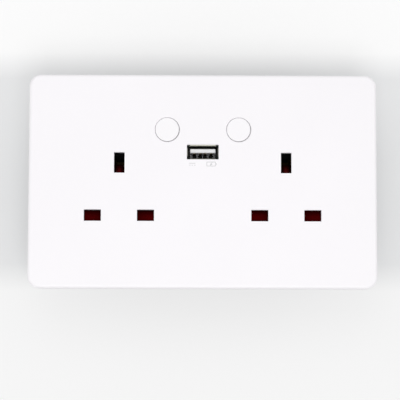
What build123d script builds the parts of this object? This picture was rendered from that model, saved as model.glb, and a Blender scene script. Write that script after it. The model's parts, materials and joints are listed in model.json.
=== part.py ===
from build123d import *
import os

os.makedirs("parts", exist_ok=True)

# Double wall socket with two push switches and a USB charging port, upright as on its wall.
# X is right, Z is up, the wall is the plane Y = 0 and the front faces -Y. A height is a
# distance in front of the wall, so it is negative behind the wall. Lengths are millimetres.

# Front plate
plate_width = 146.0
plate_height = 90.0
plate_depth = 8.0
plate_face = 2.4
plate_wall = 2.0
plate_corner = 5.0
plate_edge = 1.2
plate_gap = 0.2
notch_width = 8.0
notch_depth = 1.2

# Outlets: apertures, and the plug pins that they take
outlet_pitch = 70.0
pin_pitch = 22.2
line_z = -14.5
line_slot_width = 7.15
line_slot_height = 4.8
line_pin_height = 4.0
earth_slot_width = 4.45
earth_slot_height = 8.7
earth_pin_height = 8.0
slot_step = 0.4

# Steel frame and its fixing slots
frame_sheet = 1.2
frame_clear = 0.8
frame_fold = 0.9
frame_gap = 0.3
fixing_pitch = 120.6
fixing_radius = 2.0
fixing_length = 7.0
clip_x = 45.0
clip_length = 12.0
clip_play = 0.3
barb_back = 0.5
barb_tip = 1.6
barb_front = 2.0
barb_reach = 1.5

# Housing: front moulding and rear cover
body_wall = 1.8
flange_lap_x = 1.0
flange_lap_z = 2.8
skirt_wall = 1.6
skirt_length = 5.6
housing_gap = 0.3
housing_corner = 4.0
rear_wall = 2.0
rear_edge = 1.0
rib = 1.2
screw_z = 24.4
screw_inset = 4.4
boss_radius = 3.0
boss_length = 7.6
screw_radius = 1.45
screw_play = 0.1
screw_length = 14.5
screw_head_radius = 2.7
screw_head_height = 2.0
screw_seat = 10.0
column_wall = 1.2
column_play = 0.3
drive_width = 0.8
drive_depth = 1.0
head_edge = 0.4

# Shutters
slide_gap = 0.2
shutter_thickness = 2.4
wing_width = 10.2
wing_overlap = 0.25
wing_tail = 0.8
pin_clear = 0.35
window_width = 7.4
window_top_clear = 1.0
bar_height = 4.0
stem_width = 8.0
stop_width = 4.0
ramp_width = 5.4
ramp_depth = 8.6
ramp_lead = 1.2
ramp_foot = 3.6
ramp_lip = 1.8
track_gap = 0.3
guide_thickness = 2.0
guide_margin = 2.2
guide_gap = 0.15
peg_radius = 1.2
peg_x = 13.0
peg_top_inset = 4.0
peg_play = 0.1
peg_head = 0.6
spring_sheet = 0.35
spring_width = 8.0
spring_length = 10.0
spring_folds = 5
spring_bend = 0.6

# Contacts: strips of brass sheet with sprung jaws for the pins
strip = 0.8
strip_width = 3.6
contact_gap = 1.0
line_depth = 10.0
strip_gap = 1.4
earth_gap = 2.2
jaw_mouth = 3.0
jaw_pinch = 2.2
jaw_base = 2.9
jaw_lead = 2.5
jaw_bend = 0.7
line_clip_width = 5.4
earth_clip_width = 6.4
neutral_drop = 1.5
bend = 3.0
post_radius = 2.0
terminal_tab = 5.0

# Wiring terminals
terminal_pitch = 9.2
terminal_z = -22.8
terminal_width = 7.4
terminal_height = 7.6
terminal_length = 8.4
wire_radius = 2.4
wire_floor = 2.4
terminal_screw_radius = 1.9
terminal_screw_play = 0.05
terminal_screw_length = 5.0
terminal_head_radius = 2.8
terminal_head_height = 1.8
terminal_hole_radius = 3.3
terminal_window = 6.4
terminal_rib = 1.0
terminal_rib_gap = 0.4
barrier_length = 8.4

# Push switches
button_pitch = 30.0
button_z = 21.7
button_radius = 5.0
button_gap = 0.12
button_rim = 0.3
button_proud = 0.2
button_edge = 0.3
button_travel = 2.5
cap_flange = 1.1
cap_flange_thickness = 1.2
cap_socket = 2.0
cap_fit = 0.05
collar_play = 0.3
collar_wall = 1.0
collar_length = 4.1
collar_sink = 0.5
plunger_side = 6.0
plunger_play = 0.15
case_width = 14.0
case_height = 11.8
case_wall = 1.2
case_top = 2.0
bridge_length = 10.4
bridge_width = 3.6
bridge_thickness = 0.8
contact_reach = 3.8
rivet_radius = 1.4
rivet_height = 0.5
rivet_rest = 0.1
cam_depth = 1.0
cam_half = 1.95
cam_end = 0.7
cam_lane = 1.45
heart_half = 0.8
heart_length = 1.8
heart_notch = 0.6
latch_radius = 0.4
latch_play = 0.05
latch_tip_depth = 5.1
latch_length = 4.0
latch_bend = 0.6
button_wire = 0.5
button_spring_radius = 5.0
button_spring_turns = 2.6
button_spring_clear = 0.05

# USB port
usb_z = 12.2
usb_width = 13.1
usb_height = 5.7
usb_wall = 0.3
usb_corner = 0.6
usb_side_gap = 0.12
usb_end_gap = 0.28
usb_cut_corner = 0.2
usb_lip = 0.8
usb_lip_inset = 1.2
usb_recess = 0.6
usb_length = 14.2
usb_fit = 0.05
usb_base = 2.2
usb_block = 2.6
tongue_width = 10.6
tongue_height = 1.65
tongue_drop = 1.1
tongue_recess = 0.8
tongue_nose = 0.25
usb_contact_width = 1.0
usb_contact_thickness = 0.25
usb_contact_inset = 0.6
usb_contact_bow = 0.5
usb_contact_bend = 0.6
usb_contact_run = 2.4
usb_channel = 1.6
usb_tab_x = 3.2
usb_tab_width = 2.0
usb_tab_length = 5.6
usb_tab_slit = 0.3
usb_tab_inset = 2.2
usb_leg_width = 2.0
usb_leg_stand = 0.8
usb_leg_play = 0.1
usb_contact_spread = (-3.5, -1.0, 1.0, 3.5)

# Charger board and the parts on it
board_width = 28.0
board_top = 15.2
board_bottom = -15.6
board_thickness = 1.6
board_post_x = 11.0
board_posts_z = (-4.0, 12.2)
board_post_radius = 1.4
board_peg_x = 12.3
board_peg_z = -13.0
board_peg_radius = 1.2
core_width = 13.0
core_depth = 6.0
core_height = 9.0
core_leg = 3.2
core_yoke = 1.8
coil_gap = 0.1
coil_overhang = 2.6
coil_inset = 0.4
bobbin_wall = 0.5
transformer_x = -4.4
transformer_z = -1.6
input_can_radius = 4.0
input_can_height = 9.2
input_can_x = 8.6
input_can_z = -7.6
output_can_radius = 3.15
output_can_height = 8.0
output_can_x = 7.4
output_can_z = 2.8
can_edge = 0.5
can_groove = 0.8
can_groove_depth = 0.35
can_groove_height = 1.2
rectifier_size = (6.0, 4.6, 2.4)
rectifier_x = -7.4
rectifier_z = -11.6
rectifier_leads = (-1.27, 1.27)
chip_size = (5.0, 3.9, 1.5)
chip_x = 0.0
chip_z = -11.6
chip_leads = (-1.905, -0.635, 0.635, 1.905)
lead_width = 0.45
lead_sheet = 0.2
lead_root = 0.3
lead_knee = 0.5
lead_foot = 1.1
lead_bend = 0.15
fuse_radius = 1.3
fuse_length = 7.0
fuse_x = -6.0
fuse_z = -8.0
fuse_lead_radius = 0.3
fuse_lead_reach = 1.2
fuse_lead_bend = 0.5
disc_radius = 3.2
disc_thickness = 2.8
disc_x = -10.0
disc_z = 7.6
disc_leg_radius = 0.3
disc_leg_spread = 1.6
feed_pin_radius = 0.5
feed_pin_play = 0.1
feed_pin_stand = 0.8
feed_neutral_x = -11.0
feed_neutral_inset = 0.9
feed_live_x = 12.4
feed_live_z = 4.4
live_bar_x = 17.3
live_bar_width = 3.2

# Earth strap from the earth bar to a lug of the steel frame
lug_length = 16.0
strap_width = 4.0
strap_lap = 4.0
strap_front = 3.0
strap_bend = 1.2
strap_slot = 0.4
strap_rivet_radius = 1.0
strap_rivet_play = 0.05
strap_rivet_head = 1.8
strap_rivet_cap = 0.6

# Heights in front of the wall, from the plate's face backwards
plate_inner = plate_depth - plate_face
body_front = plate_inner - plate_gap
frame_front = body_front - body_wall
frame_back = frame_front - frame_sheet
shutter_front = frame_front - slide_gap
shutter_back = shutter_front - shutter_thickness
guide_front = shutter_back - slide_gap
guide_back = guide_front - guide_thickness
contact_mouth = guide_back - contact_gap
ramp_back = shutter_front - ramp_depth
earth_mouth = ramp_back - contact_gap
live_back = contact_mouth - line_depth
live_front = live_back + strip
neutral_front = live_back - strip_gap
neutral_back = neutral_front - strip
earth_front = neutral_back - earth_gap
earth_back = earth_front - strip
terminal_back = earth_back - terminal_length
rear_inner = terminal_back
rear_back = rear_inner - rear_wall
wire_height = terminal_back + wire_floor + wire_radius
terminal_screw_tip = terminal_back + wire_floor - slide_gap
terminal_head_front = terminal_screw_tip - terminal_screw_length
terminal_head_back = terminal_head_front - terminal_head_height
skirt_back = frame_front - skirt_length
boss_back = frame_front - boss_length
screw_seat_height = boss_back - screw_seat
case_front = frame_front - collar_length
case_back = live_front
usb_mouth = plate_depth - usb_recess
board_front = usb_mouth - usb_length
board_back = board_front - board_thickness

# Outlines that the pieces share
outlets = (-outlet_pitch / 2, outlet_pitch / 2)
buttons = (-button_pitch / 2, button_pitch / 2)
sides = ("left", "right")
earth_z = line_z + pin_pitch
collar_bore = button_radius + cap_flange + collar_play
track_half = pin_pitch / 2 + wing_width / 2 + track_gap
inner_half_x = outlet_pitch / 2 + track_half + rib
inner_half_z = button_z + collar_bore + collar_sink
skirt_half_x = inner_half_x + skirt_wall
skirt_half_z = inner_half_z + skirt_wall
cavity_half_x = skirt_half_x + housing_gap
cavity_half_z = skirt_half_z + housing_gap
rear_half_x = cavity_half_x + rear_wall
rear_half_z = cavity_half_z + rear_wall
window_half_x = skirt_half_x + frame_gap
window_half_z = skirt_half_z + frame_gap
frame_half_x = plate_width / 2 - plate_wall - frame_clear
frame_half_z = plate_height / 2 - plate_wall - frame_clear
frame_corner = plate_corner - plate_wall
screw_points = [(x, -screw_z) for x in outlets]
screw_points += [(x, screw_z) for x in (-inner_half_x + screw_inset, inner_half_x - screw_inset)]
button_points = [(x, button_z) for x in buttons]
terminals_x = [terminal_pitch * (i - 1.5) for i in range(4)]
terminal_top = terminal_z + terminal_height / 2
terminal_low = terminal_z - terminal_height / 2
neutral_z = line_z - neutral_drop
strap_low = -window_half_z - frame_sheet - strip
strap_rivet_height = frame_back - lug_length / 2

# Shutter travel: the wings have to clear the line pins, and the ramp the earth pin
wing_top = line_z + line_slot_height / 2 + wing_overlap
wing_bottom = line_z - line_slot_height / 2 - wing_tail
shutter_travel = wing_top - (line_z - line_pin_height / 2 - pin_clear)
window_top = line_z + line_pin_height / 2 + shutter_travel + window_top_clear
bar_top = window_top + bar_height
ramp_low = earth_z - earth_slot_height / 2 - ramp_lead
ramp_tip = earth_z - earth_pin_height / 2 - pin_clear + shutter_travel
spring_seat = window_top - spring_length
guide_top = earth_z + earth_slot_height / 2 + guide_margin

# Switch heights: the bridge rests its travel away from the fixed contacts
rivet_front = live_front + rivet_height
bridge_back = rivet_front + rivet_rest + button_travel
bridge_front = bridge_back + bridge_thickness
cap_front = plate_depth + button_proud
flange_front = body_front
flange_back = flange_front - cap_flange_thickness
latch_tip = case_front - latch_tip_depth


def front(height):
    """Plane parallel to the wall at a height in front of it."""
    return Plane.XZ.offset(height)


def pin_apertures(grow):
    """Six pin apertures in the current sketch, each side moved out by grow."""
    for x in outlets:
        with Locations((x, earth_z)):
            Rectangle(earth_slot_width + 2 * grow, earth_slot_height + 2 * grow)
        with Locations((x - pin_pitch / 2, line_z), (x + pin_pitch / 2, line_z)):
            Rectangle(line_slot_width + 2 * grow, line_slot_height + 2 * grow)


def jaw_points(mouth, base):
    """Centre line of a pair of sprung jaws, as (across the pin, along Y) points."""
    pinch = mouth - jaw_lead
    half = [(jaw_mouth, -mouth), (jaw_pinch, -pinch), (jaw_base, -base)]
    return half + [(-across, along) for across, along in reversed(half)]


# Front plate: a hollow moulding, with four barbs inside the long walls that snap into the frame
with BuildPart() as front_plate:
    with BuildSketch(front(0)):
        RectangleRounded(plate_width, plate_height, plate_corner)
    extrude(amount=plate_depth)
    fillet(front_plate.faces().sort_by(Axis.Y)[0].edges(), plate_edge)
    with BuildSketch(front(0)):
        RectangleRounded(
            plate_width - 2 * plate_wall, plate_height - 2 * plate_wall, plate_corner - plate_wall
        )
    extrude(amount=plate_inner, mode=Mode.SUBTRACT)
    with BuildSketch(front(plate_inner)):
        pin_apertures(0)
        with Locations((0, usb_z)):
            RectangleRounded(usb_width + 2 * usb_side_gap, usb_height + 2 * usb_end_gap, usb_cut_corner)
        with Locations(*button_points):
            Circle(button_radius + button_gap)
    extrude(amount=plate_face, mode=Mode.SUBTRACT)
    face_arcs = front_plate.faces().sort_by(Axis.Y)[0].edges().filter_by(GeomType.CIRCLE)
    fillet(face_arcs.sort_by(SortBy.RADIUS)[-2:], button_rim)
    barb_root = plate_height / 2 - plate_wall
    for sign in (-1, 1):
        for x in (-clip_x, clip_x):
            with BuildSketch(Plane.YZ.offset(x - clip_length / 2)):
                with BuildLine():
                    Polyline(
                        (-barb_back, sign * barb_root),
                        (-barb_tip, sign * (barb_root - barb_reach)),
                        (-barb_front, sign * (barb_root - barb_reach)),
                        (-barb_front, sign * barb_root),
                        close=True,
                    )
                make_face()
            extrude(amount=clip_length)
    with BuildSketch(front(0)):
        with Locations((0, -plate_height / 2 + plate_wall / 2)):
            Rectangle(notch_width, plate_wall)
    extrude(amount=notch_depth, mode=Mode.SUBTRACT)
front_plate.part.label = "front_plate"
export_step(front_plate.part, "parts/front_plate.step")

# Mounting frame: a steel pan pressed from sheet, with windows for the plate's barbs and an earth lug
with BuildPart() as mounting_frame:
    with BuildSketch(front(0)):
        RectangleRounded(2 * frame_half_x, 2 * frame_half_z, frame_corner)
    extrude(amount=frame_front)
    fillet(mounting_frame.faces().sort_by(Axis.Y)[0].edges(), frame_fold)
    with BuildSketch(front(0)):
        RectangleRounded(
            2 * (frame_half_x - frame_sheet), 2 * (frame_half_z - frame_sheet), frame_corner - frame_sheet
        )
    extrude(amount=frame_back, mode=Mode.SUBTRACT)
    with BuildSketch(front(frame_back)):
        RectangleRounded(2 * window_half_x, 2 * window_half_z, housing_corner + frame_gap)
        with Locations((-fixing_pitch / 2, 0), (fixing_pitch / 2, 0)):
            SlotOverall(fixing_length, 2 * fixing_radius)
    extrude(amount=frame_sheet, mode=Mode.SUBTRACT)
    with BuildSketch(Plane.XY.offset(-frame_half_z)):
        with Locations((-clip_x, -(barb_back + barb_front) / 2), (clip_x, -(barb_back + barb_front) / 2)):
            Rectangle(clip_length + 2 * clip_play, barb_front - barb_back + 2 * clip_play)
    extrude(amount=2 * frame_half_z, mode=Mode.SUBTRACT)
    with BuildSketch(Plane.XY.offset(-window_half_z)):
        with Locations((0, lug_length / 2 - frame_back)):
            Rectangle(strap_width, lug_length)
        with Locations((0, -strap_rivet_height)):
            Circle(strap_rivet_radius + strap_rivet_play, mode=Mode.SUBTRACT)
    extrude(amount=-frame_sheet)
mounting_frame.part.label = "mounting_frame"
export_step(mounting_frame.part, "parts/mounting_frame.step")

# Socket body: front moulding with the shutter tracks, screw bosses and button collars
with BuildPart() as socket_body:
    with BuildSketch(front(frame_front)):
        RectangleRounded(
            2 * (window_half_x + flange_lap_x), 2 * (window_half_z + flange_lap_z), housing_corner
        )
    extrude(amount=body_wall)
    with BuildSketch(front(skirt_back)):
        RectangleRounded(2 * skirt_half_x, 2 * skirt_half_z, housing_corner)
        RectangleRounded(
            2 * inner_half_x, 2 * inner_half_z, housing_corner - skirt_wall, mode=Mode.SUBTRACT
        )
    extrude(amount=skirt_length)
    with BuildSketch(front(guide_front)):
        for x in outlets:
            for offset in (-track_half - rib / 2, track_half + rib / 2):
                with Locations((x + offset, (guide_top - inner_half_z) / 2)):
                    Rectangle(rib, guide_top + inner_half_z)
            with Locations((x, spring_seat - rib / 2)):
                Rectangle(spring_width, rib)
            for offset in (-stem_width / 2 - stop_width, stem_width / 2 + stop_width):
                with Locations((x + offset, bar_top + slide_gap + rib / 2)):
                    Rectangle(stop_width, rib)
    extrude(amount=frame_front - guide_front)
    with BuildSketch(front(boss_back)):
        with Locations(*screw_points):
            Circle(boss_radius)
    extrude(amount=boss_length)
    with BuildSketch(front(case_front)):
        with Locations(*button_points):
            Circle(collar_bore + collar_wall)
    extrude(amount=collar_length)
    with BuildSketch(front(guide_back - peg_head)):
        for x in outlets:
            for z in (guide_top - peg_top_inset, -inner_half_z + 2 * peg_radius):
                with Locations((x - peg_x, z), (x + peg_x, z)):
                    Circle(peg_radius)
    extrude(amount=frame_front - guide_back + peg_head)
    with BuildSketch(front(board_front)):
        with Locations((-board_peg_x, board_peg_z), (board_peg_x, board_peg_z)):
            Circle(board_peg_radius)
    extrude(amount=frame_front - board_front)
    with BuildSketch(front(case_front)):
        with Locations(*button_points):
            Circle(collar_bore)
    extrude(amount=body_front - case_front, mode=Mode.SUBTRACT)
    with BuildSketch(front(frame_front)):
        pin_apertures(slot_step)
        with Locations((0, usb_z)):
            Rectangle(usb_width + 2 * slot_step, usb_height + 2 * slot_step)
    extrude(amount=body_wall, mode=Mode.SUBTRACT)
    with BuildSketch(front(boss_back)):
        with Locations(*screw_points):
            Circle(screw_radius + screw_play)
    extrude(amount=boss_length, mode=Mode.SUBTRACT)
socket_body.part.label = "socket_body"
export_step(socket_body.part, "parts/socket_body.step")

# Rear cover: deep tray with screw columns, posts behind the contacts, openings at the terminals and
# barriers between the terminal screws
column_radius = screw_head_radius + column_play + column_wall
with BuildPart() as rear_cover:
    with BuildSketch(front(rear_back)):
        RectangleRounded(2 * rear_half_x, 2 * rear_half_z, housing_corner + rear_wall)
    extrude(amount=frame_back - rear_back)
    fillet(rear_cover.faces().sort_by(Axis.Y)[-1].edges(), rear_edge)
    with BuildSketch(front(rear_inner)):
        RectangleRounded(2 * cavity_half_x, 2 * cavity_half_z, housing_corner)
    extrude(amount=frame_back - rear_inner, mode=Mode.SUBTRACT)
    with BuildSketch(front(rear_inner)):
        with Locations(*screw_points):
            Circle(column_radius)
    extrude(amount=boss_back - rear_inner)
    with BuildSketch(front(rear_inner)):
        with Locations(*[(x + pin_pitch / 2, line_z + strip_width + post_radius) for x in outlets]):
            Circle(post_radius)
    extrude(amount=live_back - rear_inner)
    with BuildSketch(front(rear_inner)):
        with Locations(*[(x - pin_pitch / 2, line_z) for x in outlets]):
            Circle(post_radius)
    extrude(amount=neutral_back - rear_inner)
    with BuildSketch(front(rear_inner)):
        with Locations(*[(x, earth_z) for x in outlets]):
            Circle(post_radius)
    extrude(amount=earth_back - rear_inner)
    with BuildSketch(front(rear_inner)):
        for z in board_posts_z:
            with Locations((-board_post_x, z), (board_post_x, z)):
                Circle(board_post_radius)
    extrude(amount=board_back - rear_inner)
    with BuildSketch(front(rear_inner)):
        with Locations(*[(terminal_pitch * (i - 2), (terminal_top - cavity_half_z) / 2) for i in range(5)]):
            Rectangle(terminal_rib, terminal_top + cavity_half_z)
    extrude(amount=earth_back - terminal_rib_gap - rear_inner)
    with BuildSketch(front(rear_back)):
        with Locations(*[(terminal_pitch * (i - 2), terminal_z) for i in range(5)]):
            SlotOverall(barrier_length, terminal_rib, rotation=90)
    extrude(amount=terminal_head_back - rear_back)
    with BuildSketch(front(rear_back)):
        with Locations(*[(x, terminal_z) for x in terminals_x]):
            Circle(terminal_hole_radius)
    extrude(amount=rear_wall, mode=Mode.SUBTRACT)
    with BuildSketch(Plane.XY.offset(-rear_half_z)):
        with Locations(*[(x, -wire_height) for x in terminals_x]):
            RectangleRounded(terminal_window, terminal_window, rib)
        with Locations((0, (strap_slot - earth_front - frame_back) / 2)):
            Rectangle(strap_width + 2 * strap_slot, frame_back - earth_front + strap_slot)
    extrude(amount=rear_wall, mode=Mode.SUBTRACT)
    with BuildSketch(front(rear_back)):
        with Locations(*screw_points):
            Circle(screw_head_radius + column_play)
    extrude(amount=screw_seat_height - rear_back, mode=Mode.SUBTRACT)
    with BuildSketch(front(screw_seat_height)):
        with Locations(*screw_points):
            Circle(screw_radius + column_play)
    extrude(amount=boss_back - screw_seat_height, mode=Mode.SUBTRACT)
rear_cover.part.label = "rear_cover"
export_step(rear_cover.part, "parts/rear_cover.step")

# Body screws: four slotted pan heads that pull the cover and the body together on the frame
with BuildPart() as body_screws:
    with BuildSketch(front(screw_seat_height)):
        with Locations(*screw_points):
            Circle(screw_radius)
    extrude(amount=screw_length)
    with BuildSketch(front(screw_seat_height)):
        with Locations(*screw_points):
            Circle(screw_head_radius)
    extrude(amount=-screw_head_height)
    fillet(body_screws.faces().sort_by(Axis.Y)[-4:].edges(), head_edge)
    with BuildSketch(front(screw_seat_height - screw_head_height)):
        with Locations(*screw_points):
            Rectangle(2 * screw_head_radius, drive_width)
    extrude(amount=drive_depth, mode=Mode.SUBTRACT)
body_screws.part.label = "body_screws"
export_step(body_screws.part, "parts/body_screws.step")

# Shutters: a plate with two windows, and a ramp that the earth pin pushes down
for side, x in zip(sides, outlets):
    with BuildPart() as shutter:
        with BuildSketch(front(shutter_back)):
            with Locations((x, (wing_bottom + bar_top) / 2)):
                Rectangle(pin_pitch + wing_width, bar_top - wing_bottom)
            with Locations((x, (wing_bottom + window_top) / 2)):
                Rectangle(pin_pitch - wing_width, window_top - wing_bottom, mode=Mode.SUBTRACT)
            with Locations((x, (bar_top + ramp_low) / 2)):
                Rectangle(stem_width, ramp_low - bar_top)
            with Locations((x - pin_pitch / 2, (wing_top + window_top) / 2)):
                Rectangle(window_width, window_top - wing_top, mode=Mode.SUBTRACT)
            with Locations((x + pin_pitch / 2, (wing_top + window_top) / 2)):
                Rectangle(window_width, window_top - wing_top, mode=Mode.SUBTRACT)
        extrude(amount=shutter_thickness)
        with BuildSketch(Plane.YZ.offset(x - ramp_width / 2)):
            with BuildLine():
                Polyline(
                    (-shutter_front, ramp_low - ramp_foot),
                    (-shutter_front, ramp_low),
                    (-ramp_back, ramp_tip),
                    (-ramp_back, ramp_tip - ramp_lip),
                    (-shutter_back, ramp_low - ramp_foot),
                    close=True,
                )
            make_face()
        extrude(amount=ramp_width)
    shutter.part.label = f"shutter_{side}"
    export_step(shutter.part, f"parts/shutter_{side}.step")

# Shutter guides: plates behind the shutters, staked on the body's pegs
for side, x in zip(sides, outlets):
    with BuildPart() as shutter_guide:
        with BuildSketch(front(guide_back)):
            guide_low = -inner_half_z + guide_gap
            with Locations((x, (guide_top + guide_low) / 2)):
                RectangleRounded(
                    2 * (track_half + rib - guide_gap), guide_top - guide_low, housing_corner - skirt_wall
                )
            with Locations((x - pin_pitch / 2, line_z), (x + pin_pitch / 2, line_z)):
                Rectangle(
                    line_slot_width + 2 * slot_step, line_slot_height + 2 * slot_step, mode=Mode.SUBTRACT
                )
            slot_high = earth_z + earth_slot_height / 2 + slot_step
            slot_low = ramp_low - ramp_foot - shutter_travel - track_gap
            with Locations((x, (slot_high + slot_low) / 2)):
                Rectangle(ramp_width + 2 * track_gap, slot_high - slot_low, mode=Mode.SUBTRACT)
            with Locations((x, -screw_z)):
                Circle(boss_radius + guide_gap, mode=Mode.SUBTRACT)
            for z in (guide_top - peg_top_inset, -inner_half_z + 2 * peg_radius):
                with Locations((x - peg_x, z), (x + peg_x, z)):
                    Circle(peg_radius + peg_play, mode=Mode.SUBTRACT)
            with Locations((x, -inner_half_z)):
                Rectangle(2 * (boss_radius + guide_gap), 2 * (inner_half_z - screw_z), mode=Mode.SUBTRACT)
        extrude(amount=guide_thickness)
    shutter_guide.part.label = f"shutter_guide_{side}"
    export_step(shutter_guide.part, f"parts/shutter_guide_{side}.step")

# Shutter springs: one folded leaf each, between the shutter's bar and a seat on the body
for side, x in zip(sides, outlets):
    with BuildPart() as shutter_spring:
        with BuildSketch(front(shutter_back + slide_gap)):
            with BuildLine():
                reach = spring_width / 2 - spring_sheet
                rise = (spring_length - spring_sheet) / spring_folds
                fold_points = [(x - reach, spring_seat + spring_sheet / 2)]
                for i in range(spring_folds + 1):
                    end = reach if i % 2 == 0 else -reach
                    fold_points.append((x + end, spring_seat + spring_sheet / 2 + rise * i))
                last = fold_points[-1]
                fold_points.append((2 * x - last[0], last[1]))
                FilletPolyline(*fold_points, radius=spring_bend)
            trace(line_width=spring_sheet)
        extrude(amount=shutter_thickness - 2 * slide_gap)
    shutter_spring.part.label = f"shutter_spring_{side}"
    export_step(shutter_spring.part, f"parts/shutter_spring_{side}.step")


def line_jaws(x, base):
    """Sprung jaws for one line pin, added to the current part."""
    points = [(along, line_z + across) for across, along in jaw_points(contact_mouth, base)]
    with BuildSketch(Plane.YZ.offset(x - line_clip_width / 2)) as jaws:
        with BuildLine():
            FilletPolyline(*points, radius=jaw_bend)
        trace(line_width=strip)
    return jaws


def flat_strip(back, points, width):
    """Sketch of a flat strip that follows a route parallel to the wall."""
    with BuildSketch(front(back)) as route:
        with BuildLine():
            FilletPolyline(*points, radius=bend)
        trace(line_width=width)
    return route


# Live contacts: jaws and a strip up to the outer fixed contact of the outlet's switch
live_left_x = outlets[0] + pin_pitch / 2
live_right_x = outlets[1] + pin_pitch / 2
live_turn_z = guide_top + strip_width
live_routes = {
    "left": (
        live_left_x,
        [
            (live_left_x, line_z),
            (live_left_x, live_turn_z),
            (buttons[0] - contact_reach, button_z),
            (buttons[0] - contact_reach, button_z + bridge_width / 2),
        ],
    ),
    "right": (
        live_right_x,
        [
            (live_right_x, line_z),
            (live_right_x, live_turn_z),
            (buttons[1] + contact_reach + bend, live_turn_z),
            (buttons[1] + contact_reach, button_z),
            (buttons[1] + contact_reach, button_z + bridge_width / 2),
        ],
    ),
}
for side, (x, points) in live_routes.items():
    with BuildPart() as live_contact:
        jaws = line_jaws(x, live_back + strip / 2)
        extrude(jaws.sketch, amount=line_clip_width)
        route = flat_strip(live_back, points, strip_width)
        extrude(route.sketch, amount=strip)
    live_contact.part.label = f"live_contact_{side}"
    export_step(live_contact.part, f"parts/live_contact_{side}.step")

# Neutral bar: the neutral jaws of both outlets on one strip, with a tab on the terminal
with BuildPart() as neutral_bar:
    for x in outlets:
        jaws = line_jaws(x - pin_pitch / 2, neutral_back + strip / 2)
        extrude(jaws.sketch, amount=line_clip_width)
    with BuildSketch(front(neutral_back)):
        with BuildLine():
            Line((outlets[0] - pin_pitch / 2, neutral_z), (outlets[1] - pin_pitch / 2, neutral_z))
        trace(line_width=strip_width)
        with BuildLine():
            Line((terminals_x[0], neutral_z), (terminals_x[0], terminal_low))
        trace(line_width=terminal_tab)
    extrude(amount=strip)
neutral_bar.part.label = "neutral_bar"
export_step(neutral_bar.part, "parts/neutral_bar.step")

# Earth bar: the earth jaws of both outlets, with a branch down to the two earth terminals
with BuildPart() as earth_bar:
    for x in outlets:
        points = [(x + across, along) for across, along in jaw_points(earth_mouth, earth_back + strip / 2)]
        with BuildSketch(Plane.XY.offset(earth_z - earth_clip_width / 2)):
            with BuildLine():
                FilletPolyline(*points, radius=jaw_bend)
            trace(line_width=strip)
        extrude(amount=earth_clip_width)
    with BuildSketch(front(earth_back)):
        with BuildLine():
            Line((outlets[0], earth_z), (outlets[1], earth_z))
        trace(line_width=terminal_tab)
        with BuildLine():
            Line((0, earth_z), (0, terminal_z))
        trace(line_width=terminal_tab)
        with Locations((0, terminal_z)):
            Rectangle(terminal_pitch + terminal_width, terminal_height)
    extrude(amount=strip)
earth_bar.part.label = "earth_bar"
export_step(earth_bar.part, "parts/earth_bar.step")

# Live bar: from the live terminal past the charger board to the inner contacts of both switches
live_points = [
    (terminals_x[3], terminal_low),
    (terminals_x[3], board_bottom),
    (live_bar_x, board_bottom + strip_width),
    (live_bar_x, board_top - strip_width),
    (buttons[1] - contact_reach, board_top + rib),
    (buttons[1] - contact_reach, button_z),
    (buttons[0] + contact_reach - bridge_width / 2, button_z),
]
with BuildPart() as live_bar:
    route = flat_strip(live_back, live_points, live_bar_width)
    extrude(route.sketch, amount=strip)
    with BuildSketch(front(live_back)):
        with BuildLine():
            Line((live_bar_x, feed_live_z), (feed_live_x - live_bar_width / 2, feed_live_z))
        trace(line_width=live_bar_width)
    extrude(amount=strip)
live_bar.part.label = "live_bar"
export_step(live_bar.part, "parts/live_bar.step")

# Wiring terminals: brass blocks with a wire hole from below and a clamping screw from behind
terminal_fronts = {
    "neutral_terminal": (terminals_x[0], neutral_back),
    "earth_terminal_left": (terminals_x[1], earth_back),
    "earth_terminal_right": (terminals_x[2], earth_back),
    "live_terminal": (terminals_x[3], live_back),
}
for name, (x, block_front) in terminal_fronts.items():
    with BuildPart() as terminal:
        with BuildSketch(front(terminal_back)):
            with Locations((x, terminal_z)):
                Rectangle(terminal_width, terminal_height)
        extrude(amount=block_front - terminal_back)
        with BuildSketch(Plane.XY.offset(terminal_low)):
            with Locations((x, -wire_height)):
                Circle(wire_radius)
        extrude(amount=terminal_height, mode=Mode.SUBTRACT)
        with BuildSketch(front(terminal_back)):
            with Locations((x, terminal_z)):
                Circle(terminal_screw_radius + terminal_screw_play)
        extrude(amount=wire_floor + wire_radius, mode=Mode.SUBTRACT)
    terminal.part.label = name
    export_step(terminal.part, f"parts/{name}.step")

# Terminal screws, backed out to leave the wire holes open as the socket is supplied
terminal_points = [(x, terminal_z) for x in terminals_x]
with BuildPart() as terminal_screws:
    with BuildSketch(front(terminal_head_front)):
        with Locations(*terminal_points):
            Circle(terminal_screw_radius)
    extrude(amount=terminal_screw_length)
    with BuildSketch(front(terminal_head_front)):
        with Locations(*terminal_points):
            Circle(terminal_head_radius)
    extrude(amount=-terminal_head_height)
    fillet(terminal_screws.faces().sort_by(Axis.Y)[-4:].edges(), head_edge)
    with BuildSketch(front(terminal_head_back)):
        with Locations(*terminal_points):
            Rectangle(2 * terminal_head_radius, drive_width)
    extrude(amount=drive_depth, mode=Mode.SUBTRACT)
terminal_screws.part.label = "terminal_screws"
export_step(terminal_screws.part, "parts/terminal_screws.step")

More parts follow.
